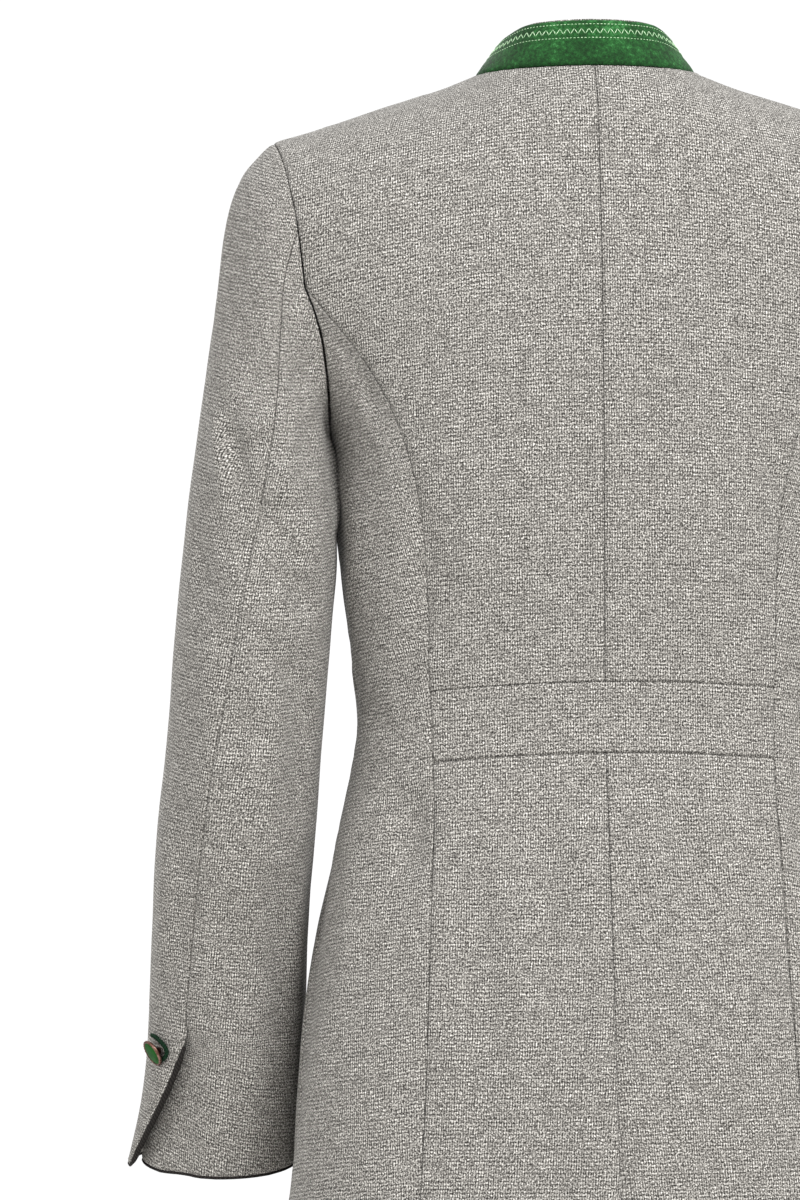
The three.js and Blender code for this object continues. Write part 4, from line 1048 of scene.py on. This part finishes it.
def sew(name, lines, finish, pitch, length, thickness, slant=0.0):
    """Stitches along lines, each a path and the direction out of the cloth, all in one mesh. The slant
    is in degrees."""
    vertices, edges, out = [], [], []
    for path, lift in lines:
        start = len(vertices)
        vertices += (path * MM).tolist()
        out += lift.tolist()
        edges += [(start + i, start + i + 1) for i in range(len(path) - 1)]
    guide = bpy.data.meshes.new(name + "_line")
    guide.from_pydata(vertices, edges, [])
    layer = guide.attributes.new("out", "FLOAT_VECTOR", "POINT")
    layer.data.foreach_set("vector", np.array(out, np.float32).ravel())
    holder = bpy.data.objects.new(name + "_line", guide)
    bpy.context.scene.collection.objects.link(holder)
    modifier = holder.modifiers.new("sewing", "NODES")
    modifier.node_group = STITCHES
    values = {"Pitch": pitch * MM, "Length": length * MM, "Thickness": thickness * MM,
              "Slant": math.radians(slant), "Thread": finish}
    for socket in STITCHES.interface.items_tree:
        if socket.in_out == "INPUT" and socket.name in values:
            modifier[socket.identifier] = values[socket.name]
    seen = bpy.context.evaluated_depsgraph_get()
    mesh = bpy.data.meshes.new_from_object(holder.evaluated_get(seen))
    mesh.name = name
    bpy.data.objects.remove(holder)
    bpy.data.meshes.remove(guide)
    return place_piece(name, mesh, finish)


def from_edge(made, edge, *keys):
    """Grids of a wall of cloth, with the lines along its hem or its slit first."""
    return [(made[key] if edge == "hem" else made[key].transpose(1, 0, 2))[::-1] for key in keys]


def line_beside(made, edge, inset):
    """A line on a wall of cloth along its hem or its slit, a distance in from it, and the way up."""
    face, normal = from_edge(made, edge, "face", "normal")
    far = run(face, 0)
    columns = range(far.shape[1])
    path, lift = (
        np.array([[np.interp(inset, far[:, j], grid[:, j, k]) for k in range(3)] for j in columns])
        for grid in (face, normal)
    )
    lift /= np.linalg.norm(lift, axis=1, keepdims=True)
    return path + lift * ABOVE, lift


# --- the coat's body ---------------------------------------------------------------------------

BODY_LIFT = lift_by(paths_of((partial(face_point, BACK), BACK_FOLDS), (section_point, SIDE_FOLDS),
                             (partial(face_point, FRONT), FRONT_FOLDS)))
SKIRT, BAND, SIDE, CHEST, SHOULDER = 455, 42, 200, 240, 133  # lengths of cloth, up a panel's rows


def make_body():
    """Each panel by its name: its surface, its grid's columns and rows, its edges and its weave. The
    lengths that columns and rows are given only set how many there are."""
    walls = {}
    side_rows = places([SKIRT, BAND, SIDE], [0, 1, 2, 3])
    for hand, mirrored in SIDES.items():
        outwards = -1 if mirrored else 1
        panels = (
            ("back", back_face, places([75, 92], [0, NECK_SHARE, 1]), places([CHEST, SHOULDER], [2, 3, 4]),
             (PRESSED, SOFT, SOFT, PRESSED), {"grain": 0.0}),
            ("side_back", side_back_face, places([82], [0, 1]), side_rows,
             (SOFT, PRESSED, FREE, PRESSED), {"turn": 7 * outwards}),
            ("side_front", side_front_face, places([100], [0, 1]), side_rows,
             (SOFT, PRESSED, FREE, PRESSED), {"turn": -5 * outwards}),
            ("front", front_face if mirrored else front_under, places([20, 68, 90], [-1, 0, NECK_SHARE, 1]),
             places([SKIRT, BAND, CHEST, SHOULDER], [0, 1, 2, 3, 4]),
             (FREE, SOFT, FREE, PRESSED), {"grain": 0.2}),
            ("skirt_back", skirt_right if mirrored else skirt_left, places([120], [0, 1]),
             places([SKIRT], [0, 1]), (PRESSED, PRESSED, FREE, CRISP), {"grain": 1.0, "follow": "level"}),
        )
        for name, point, columns, rows, edges, weave in panels:
            walls[f"{name}_{hand}"] = cloth(f"wool_{name}_{hand}", point, columns, rows, edges, BODY_LIFT,
                                            from_axis, mirrored=mirrored, **weave)
    walls["waist_band"] = cloth("wool_waist_band", waist_point, places([206], [-1, 1]),
                                places([BAND], [1, 2]), (SOFT, SOFT, CRISP, SOFT), BODY_LIFT, from_axis)
    for node, made in walls.items():
        name, _, hand = node.rpartition("_")
        hang(made, WOOL, node)
    return walls


# --- the collar --------------------------------------------------------------------------------

COLLAR_ROWS = (3.2, 12.4)  # the two running rows, down from the felt's upper edge
COLLAR_ZIGZAG = 7.9  # and the zigzag between them
COLLAR_STITCH = 2.2  # from one stitch to the next
COLLAR_ENDS = 0.985  # how far round the stitches run
LINING_FOOT = -0.12  # share of the collar's height where its lining starts, inside the neck


def collar_line(inset):
    """A line round the collar at a distance down its outer face from the upper edge."""
    way = np.linspace(-COLLAR_ENDS, COLLAR_ENDS, 500)
    slant = np.linalg.norm(collar_point(way, 1.0 + 0 * way) - collar_point(way, 0 * way), axis=1)
    share = 1 - inset / slant
    out = -slope(collar_point, way, share, (-1, 1), (0, 1))
    return collar_point(way, share) + out * ABOVE, out


def collar_handle(points):
    """Felt and its lining are stiffer than the coat's cloth."""
    return 0.25 * handle(points * 0.7)


def make_collar():
    around = places([430], [-1, 1], COLLAR_CELL)
    outer = cloth("felt_collar", collar_point, around, places([27], [0, 1], COLLAR_CELL),
                  (FREE, FREE, PRESSED, FREE), collar_handle, from_axis, thick=FELT)
    inner = cloth("wool_collar_lining", collar_lining, around, places([30], [LINING_FOOT, 1], COLLAR_CELL),
                  (FREE, FREE, FREE, FREE), collar_handle, from_axis, thick=FACING)
    running = sew("stitches_collar_rows", [collar_line(inset) for inset in COLLAR_ROWS], PALE_THREAD,
                  COLLAR_STITCH, 1.5, 0.5)
    zigzag = sew("stitches_collar_zigzag", [collar_line(COLLAR_ZIGZAG)], PALE_THREAD,
                 COLLAR_STITCH, 4.6, 0.48, 60)
    hang(outer, GREEN_FELT, "collar_outer")
    hang(inner, WOOL, "collar_inner")


# --- sleeves, piping and cuffs -----------------------------------------------------------------

SLEEVE_SHEETS = (
    ("top_sleeve", top_sleeve, top_angle, 220),
    ("under_sleeve", under_sleeve, under_angle, 150),
)
PIPING_GAP = 0.15
PIPING_SWELL_AS_PAINTED_SHADOW = 0.95  # how much thicker the piping stands in the slit than along the hem; the thicker dark roll is partly painted shadow in the slit
SLIT_CLEAR = 5.0  # from the slit's start to its piping
SLIT_FOOT = 3  # grid lines at the cuff's corner that the piping rounds off
CUFF_INSET = 2.6  # from the cuff's edge to its row of stitches


def rim_turn(angle_of):
    """At the armhole a sleeve's rim lies flat against the body's."""

    def turned(u, v, own):
        way = hole_way(angle_of(u, v))
        body = armhole_normal(way)
        body *= np.sign((body * own).sum(-1, keepdims=True))
        start = angle_of(u, 0 * v)
        down = sleeve_point(start, 0 * v + 2.0) - sleeve_point(start, 0 * v)
        bend = ((down * body).sum(-1, keepdims=True) < 0) * ease(9, 0.3, v)[..., None]
        n = mix(own, body, bend)
        return n / np.linalg.norm(n, axis=-1, keepdims=True)

    return turned


def make_sleeves():
    """Both sheets of each sleeve, with their cuffs' trims."""
    rows = places([SLEEVE_END - SLEEVE_GAP], [SLEEVE_GAP, SLEEVE_END])
    rows = np.unique(np.concatenate([rows, [SLIT_START]]))
    walls = {}
    for hand, mirrored in SIDES.items():
        paths = paths_of((sleeve_point, RIGHT_SLEEVE_FOLDS if mirrored else LEFT_SLEEVE_FOLDS))
        if mirrored:
            paths = [(path * (-1, 1, 1), *rest) for path, *rest in paths]
        for name, point, angle_of, width in SLEEVE_SHEETS:
            walls[f"{name}_{hand}"] = cloth(
                f"wool_{name}_{hand}", point, places([width], [0, 1]), rows, (SOFT, SOFT, PRESSED, FREE),
                lift_by(paths), from_sleeve, mirrored=mirrored, grain=1.0, follow="threads",
                rim=rim_turn(angle_of))
        top, under = walls["top_sleeve_" + hand], walls["under_sleeve_" + hand]
        top_trims, under_trims = make_cuff(hand, top, under)
        hang(top, WOOL, "top_sleeve_" + hand)
        hang(under, WOOL, "under_sleeve_" + hand)
    return walls


def piping_line(made, edge):
    """The piping's line along a wall's hem or slit, just off its edge, and the way up from the cloth."""
    face, back, normal = from_edge(made, edge, "face", "back", "normal")
    middle = (face[0] + back[0]) / 2
    way = middle - (face[3] + back[3]) / 2
    way /= np.linalg.norm(way, axis=1, keepdims=True)
    return middle + way * (PIPING_R + PIPING_GAP), normal[0]


def make_cuff(hand, top, under):
    """The piping and the row of stitches along each sleeve sheet's hem and up the top one's slit. Up the
    slit the piping swells into a dark roll that is partly painted shadow.
    """
    (hem, hem_up), (slit, slit_up) = piping_line(top, "hem"), piping_line(top, "slit")
    start = int(np.searchsorted(top["rows"], SLIT_START + SLIT_CLEAR))
    up_slit = slice(-1 - SLIT_FOOT, start, -1)
    path = np.concatenate([hem[:-SLIT_FOOT], slit[up_slit]])
    up = np.concatenate([hem_up[:-SLIT_FOOT], slit_up[up_slit]])
    past = np.arange(len(path)) - (len(hem) - SLIT_FOOT)
    # Up the slit the piping swells, partly as painted shadow in the slit.
    swell = ease(-2, 3, past) * ease(0, 4, len(slit[up_slit]) - past)
    pipings = []
    for part, line in (
        ("top", (path, up, PIPING_R * (1 + PIPING_SWELL_AS_PAINTED_SHADOW * swell))),
        ("under", (*piping_line(under, "hem"), PIPING_R)),
    ):
        name = f"piping_{part}_{hand}"
        pipings.append(place_piece(name, tube(name, *line), PIPING_WITH_PAINTED_SHADE, [f"{part}_piping_{hand}"]))
    slit_line = [part[start : -1 - SLIT_FOOT] for part in line_beside(top, "slit", CUFF_INSET)]
    rows = [
        sew(f"stitches_cuff_{part}_{hand}", lines, GREY_THREAD, 2.0, 1.4, 0.4)
        for part, lines in (
            ("top", [line_beside(top, "hem", CUFF_INSET), slit_line]),
            ("under", [line_beside(under, "hem", CUFF_INSET)]),
        )
    ]
    return zip(pipings, rows)


# --- buttons, loops and buttonholes ------------------------------------------------------------

SPOKES = 48  # points round a button
NECK = SHANK - 0.4  # height of the shank's neck, above which the head leans
FACE = SHANK + BUTTON_THICK  # height of the enamel's middle
# A button's outline, from the cloth out round its head to the face's middle: each place's distance
# from the axis, its height and how deep the rim is roped there.
OUTLINE = (
    (0.0, SEAM, 0), (SHANK_R * 0.8, SEAM, 0), (SHANK_R, SEAM + 0.3, 0), (SHANK_R * 0.8, SHANK - 0.5, 0),
    (SHANK_R, SHANK, 0), (BUTTON_R - 2.2, SHANK + 0.1, 0), (BUTTON_R - 0.9, SHANK + 0.45, 0),
    (BUTTON_R - 0.15, SHANK + 1.05, 0), (BUTTON_R, SHANK + 1.5, 0.16), (BUTTON_R - 0.15, FACE - 0.75, 0.2),
    (BUTTON_R - 0.55, FACE - 0.35, 0.22), (BUTTON_R - 0.85, FACE - 0.25, 0.16),
    (BUTTON_R - 1.2, FACE - 0.45, 0), (BUTTON_R - 1.3, FACE - 0.75, 0), (BUTTON_R - 1.5, FACE - 0.65, 0),
    (BUTTON_R - 2.8, FACE - 0.3, 0), (BUTTON_R - 5.0, FACE - 0.08, 0), (0.0, FACE, 0),
)
ENAMEL_FROM = 12  # band of the outline where the enamel starts, inside the rim
CUFF_LEAN = (0.05, -0.14, -0.5)  # how a left cuff button's head leans
FRONT_TURN = 0.3  # how much further round each front button is turned


def button_mesh(name, point, normal, spin, lean=(0, 0, 0)):
    """A shank button: a pressed copper shell with a roped rim round a domed enamel face. Its head leans
    on its shank."""
    turn = np.linspace(0, 2 * math.pi, SPOKES, endpoint=False) + spin
    leaned = normal + np.array(lean)
    neck = point + normal * NECK
    points, faces, enamel = [], [], []
    for radius, height, roping in OUTLINE:
        axis = (leaned if height > NECK else normal) * 1.0
        axis /= np.linalg.norm(axis)
        aside = np.cross(axis, (0, 0, 1.0))
        aside /= np.linalg.norm(aside)
        ahead = np.cross(axis, aside)
        middle = neck + axis * (height - NECK)
        if not radius:
            points.append(middle)
            continue
        rope = roping * np.cos(SPOKES / 2 * (turn - spin))
        far = radius + rope
        ring = np.outer(np.cos(turn) * far, aside) + np.outer(np.sin(turn) * far, ahead)
        points += list(middle + ring + np.outer(0.5 * rope, axis))
    rings = len(OUTLINE) - 2
    last = 1 + (rings - 1) * SPOKES
    for j in range(SPOKES):
        n = (j + 1) % SPOKES
        faces.append((0, 1 + n, 1 + j))
        for k in range(rings - 1):
            a, b = 1 + k * SPOKES + j, 1 + k * SPOKES + n
            faces.append((a, b, b + SPOKES, a + SPOKES))
        faces.append((last + j, last + n, len(points) - 1))
        enamel += [0] + [int(k >= ENAMEL_FROM) for k in range(rings - 1)] + [1]
    if np.dot(np.cross(aside, ahead), axis) < 0:
        faces = [face[::-1] for face in faces]
    mesh = mesh_of(name, np.array(points), faces)
    mesh.materials.append(COPPER)
    mesh.materials.append(ENAMEL)
    mesh.polygons.foreach_set("material_index", enamel)
    return mesh


EVENED = 3.0  # radius of the cloth that gives a place's height and normal


def on_sleeve(walls, hand, angle, along):
    """Place and normal on a top sleeve's finished face, evened out over the cloth just round it."""
    made = walls["top_sleeve_" + hand]
    start, end = top_angle(0.0, along), top_angle(1.0, along)
    u = (angle - start) / (end - start)
    p = top_sleeve(np.array([u]), np.array([along]))[0] * ((-1, 1, 1) if SIDES[hand] else (1, 1, 1))
    near = np.linalg.norm(made["face"] - p, axis=-1)
    weight = np.exp(-((near / EVENED) ** 2))[..., None]
    n = (made["normal"] * weight).sum((0, 1)) / weight.sum()
    n /= np.linalg.norm(n)
    shift = (((made["face"] - p) * weight).sum((0, 1)) / weight.sum()) @ n
    return p + n * shift, n


def place_button(node, *where):
    """A button in place of its solid, whose name has the same words in another order."""
    part, kind, mark = node.split("_")
    name = f"{kind}_{part}_{mark}"
    place_piece(name, button_mesh(name, *where), (COPPER, ENAMEL), [node])


def make_buttons(sleeves, body):
    for hand, mirrored in SIDES.items():
        lean = np.array(CUFF_LEAN) * ((-1, 1, 1) if mirrored else (1, 1, 1))
        place_button("cuff_button_" + hand, *on_sleeve(sleeves, hand, *CUFF_BUTTON), 0.1, lean)
        make_loop(sleeves, hand)
    front = body["front_right"]
    middle = int(np.argmin(np.abs(front["face"][10, :, 0])))
    for i, level in enumerate(FRONT_BUTTONS):
        k = row_at(front, middle, level)
        point = front["face"][k, middle] * (0, 1, 1)
        normal = front["normal"][k, middle] * (0, 1, 1)
        place_button(f"front_button_{i + 1}", point, normal / np.linalg.norm(normal), FRONT_TURN * i)
    make_buttonholes(front, middle)


def row_at(made, column, level):
    """The row of a wall's grid that is nearest to a level, along one of its columns."""
    return int(np.argmin(np.abs(made["face"][:, column, 2] - level)))


PLY_R, PLY_OFF, LAY = 0.8, 0.62, 4.2  # a ply, its distance from the cord's middle and one turn's length
CORD_CLEAR = 0.5


def make_loop(sleeves, hand):
    """A cord of two plies laid round the cuff button's shank."""
    steps = np.linspace(0, 9, 73)
    stations = [on_sleeve(sleeves, hand, read(LOOP, "angle", s), read(LOOP, "along", s)) for s in steps]
    centre, over = (np.array(part) for part in zip(*stations))
    path = centre + over * (CORD_R + CORD_CLEAR)
    ahead = np.gradient(path, axis=0)
    ahead /= np.linalg.norm(ahead, axis=1, keepdims=True)
    side = np.cross(over, ahead)
    points, faces = [], []
    for phase in (0.0, math.pi):
        turn = length_along(path) * (2 * math.pi / LAY) + phase
        off = side * np.cos(turn)[:, None] + over * np.sin(turn)[:, None]
        ply = tube("ply", path + off * PLY_OFF, over, PLY_R, 8)
        faces += [[i + len(points) for i in face.vertices] for face in ply.polygons]
        points += [vertex.co / MM for vertex in ply.vertices]
        bpy.data.meshes.remove(ply)
    name = "cord_loop_" + hand
    place_piece(name, mesh_of(name, np.array(points), faces), CORD, ["cuff_loop_" + hand])


HOLE_SPAN = (1.0, 14.0)  # where a buttonhole's bars run, from the centre front to the edge
BAR_OFF = 0.6  # each bar's distance from the buttonhole's middle


def make_buttonholes(front, middle):
    """Worked bars of thread that show beside each front button, towards the edge."""
    lines = []
    for level in FRONT_BUTTONS:
        k = row_at(front, middle, level)
        x = front["face"][k, :, 0]
        edgeward = (x > HOLE_SPAN[0]) & (x < HOLE_SPAN[1])
        path, lift = front["face"][k, edgeward], front["normal"][k, edgeward]
        lines += [(path + (0, 0, offset) + lift * ABOVE, lift) for offset in (-BAR_OFF, BAR_OFF)]
    sew("stitches_buttonholes", lines, DARK_THREAD, 0.55, 1.3, 0.45, 90)


# --- the stage ---------------------------------------------------------------------------------

FLOOR_Z, FLOOR_HALF = -1.42, 6.0  # metres
YAW = math.radians(5.5)
ROLL = math.radians(0.7)
DISTANCE = 3.5  # metres from the camera to the coat
VIEW_WIDTH = 0.7272  # metres across the view at that distance
SENSOR = 36.0
EYE = (-0.0079, -0.419)  # to the left of the coat's middle and up, in metres
TARGET = (0.1163, -0.3163)


def make_stage():
    mesh = bpy.data.meshes.new("floor")
    corners = ((-1, -1), (1, -1), (1, 1), (-1, 1))
    mesh.from_pydata([(x * FLOOR_HALF, y * FLOOR_HALF, FLOOR_Z) for x, y in corners], [], [(0, 1, 2, 3)])
    floor = bpy.data.objects.new("floor", mesh)
    bpy.context.scene.collection.objects.link(floor)
    mesh.materials.append(material("studio_floor", "#e8e7e4", Roughness=0.8)[0])


def facing(start, end):
    """The turn of a lamp or a camera that looks from one place to another."""
    return (Vector(end) - Vector(start)).to_track_quat("-Z", "Y").to_euler()


def lamp(name, where, aim, size, watts):
    data = bpy.data.lights.new(name, "AREA")
    data.shape = "DISK"
    data.size = size
    data.energy = watts
    made = bpy.data.objects.new(name, data)
    made.location = where
    made.rotation_euler = facing(where, aim)
    bpy.context.scene.collection.objects.link(made)


def make_light():
    world = bpy.data.worlds.new("studio")
    bpy.context.scene.world = world
    world.use_nodes = True
    back = world.node_tree.nodes["Background"]
    back.inputs["Color"].default_value = (1, 1, 1, 1)
    # White at eye level and above, dimmer towards the ground.
    toward = put(world.node_tree, "ShaderNodeTexCoord").outputs["Generated"]
    split = put(world.node_tree, "ShaderNodeSeparateXYZ", {0: toward})
    span = {"From Min": -0.45, "From Max": -0.15, "To Min": 0.12, "To Max": 0.52}
    glow = put(world.node_tree, "ShaderNodeMapRange", {"Value": split.outputs["Z"], **span})
    world.node_tree.links.new(glow.outputs["Result"], back.inputs["Strength"])
    lamp("key", (-1.3, 2.5, 1.8), (0, 0, 0.05), 1.2, 60)
    lamp("side", (2.6, 1.5, 1.1), (0.1, 0, -0.1), 0.8, 11)
    lamp("front", (0.8, -3.0, 0.6), (0, 0, -0.4), 2.0, 16)


def make_camera():
    """Looks at the coat's back from a little to one side."""
    data = bpy.data.cameras.new("view")
    data.sensor_width = SENSOR
    data.lens = SENSOR * DISTANCE / VIEW_WIDTH
    made = bpy.data.objects.new("view", data)
    bpy.context.scene.collection.objects.link(made)
    left = Vector((math.cos(YAW), -math.sin(YAW), 0))
    back = Vector((math.sin(YAW), math.cos(YAW), 0))
    made.location = back * DISTANCE + left * EYE[0] + Vector((0, 0, EYE[1]))
    made.rotation_euler = facing(made.location, left * TARGET[0] + Vector((0, 0, TARGET[1])))
    made.rotation_euler.rotate_axis("Z", -ROLL)
    bpy.context.scene.camera = made


make_camera()
body_walls = make_body()
make_collar()
sleeve_walls = make_sleeves()
make_buttons(sleeve_walls, body_walls)
make_stage()
make_light()
bpy.context.scene.view_settings.view_transform = "Standard"
bpy.context.scene.view_settings.exposure = 1.0
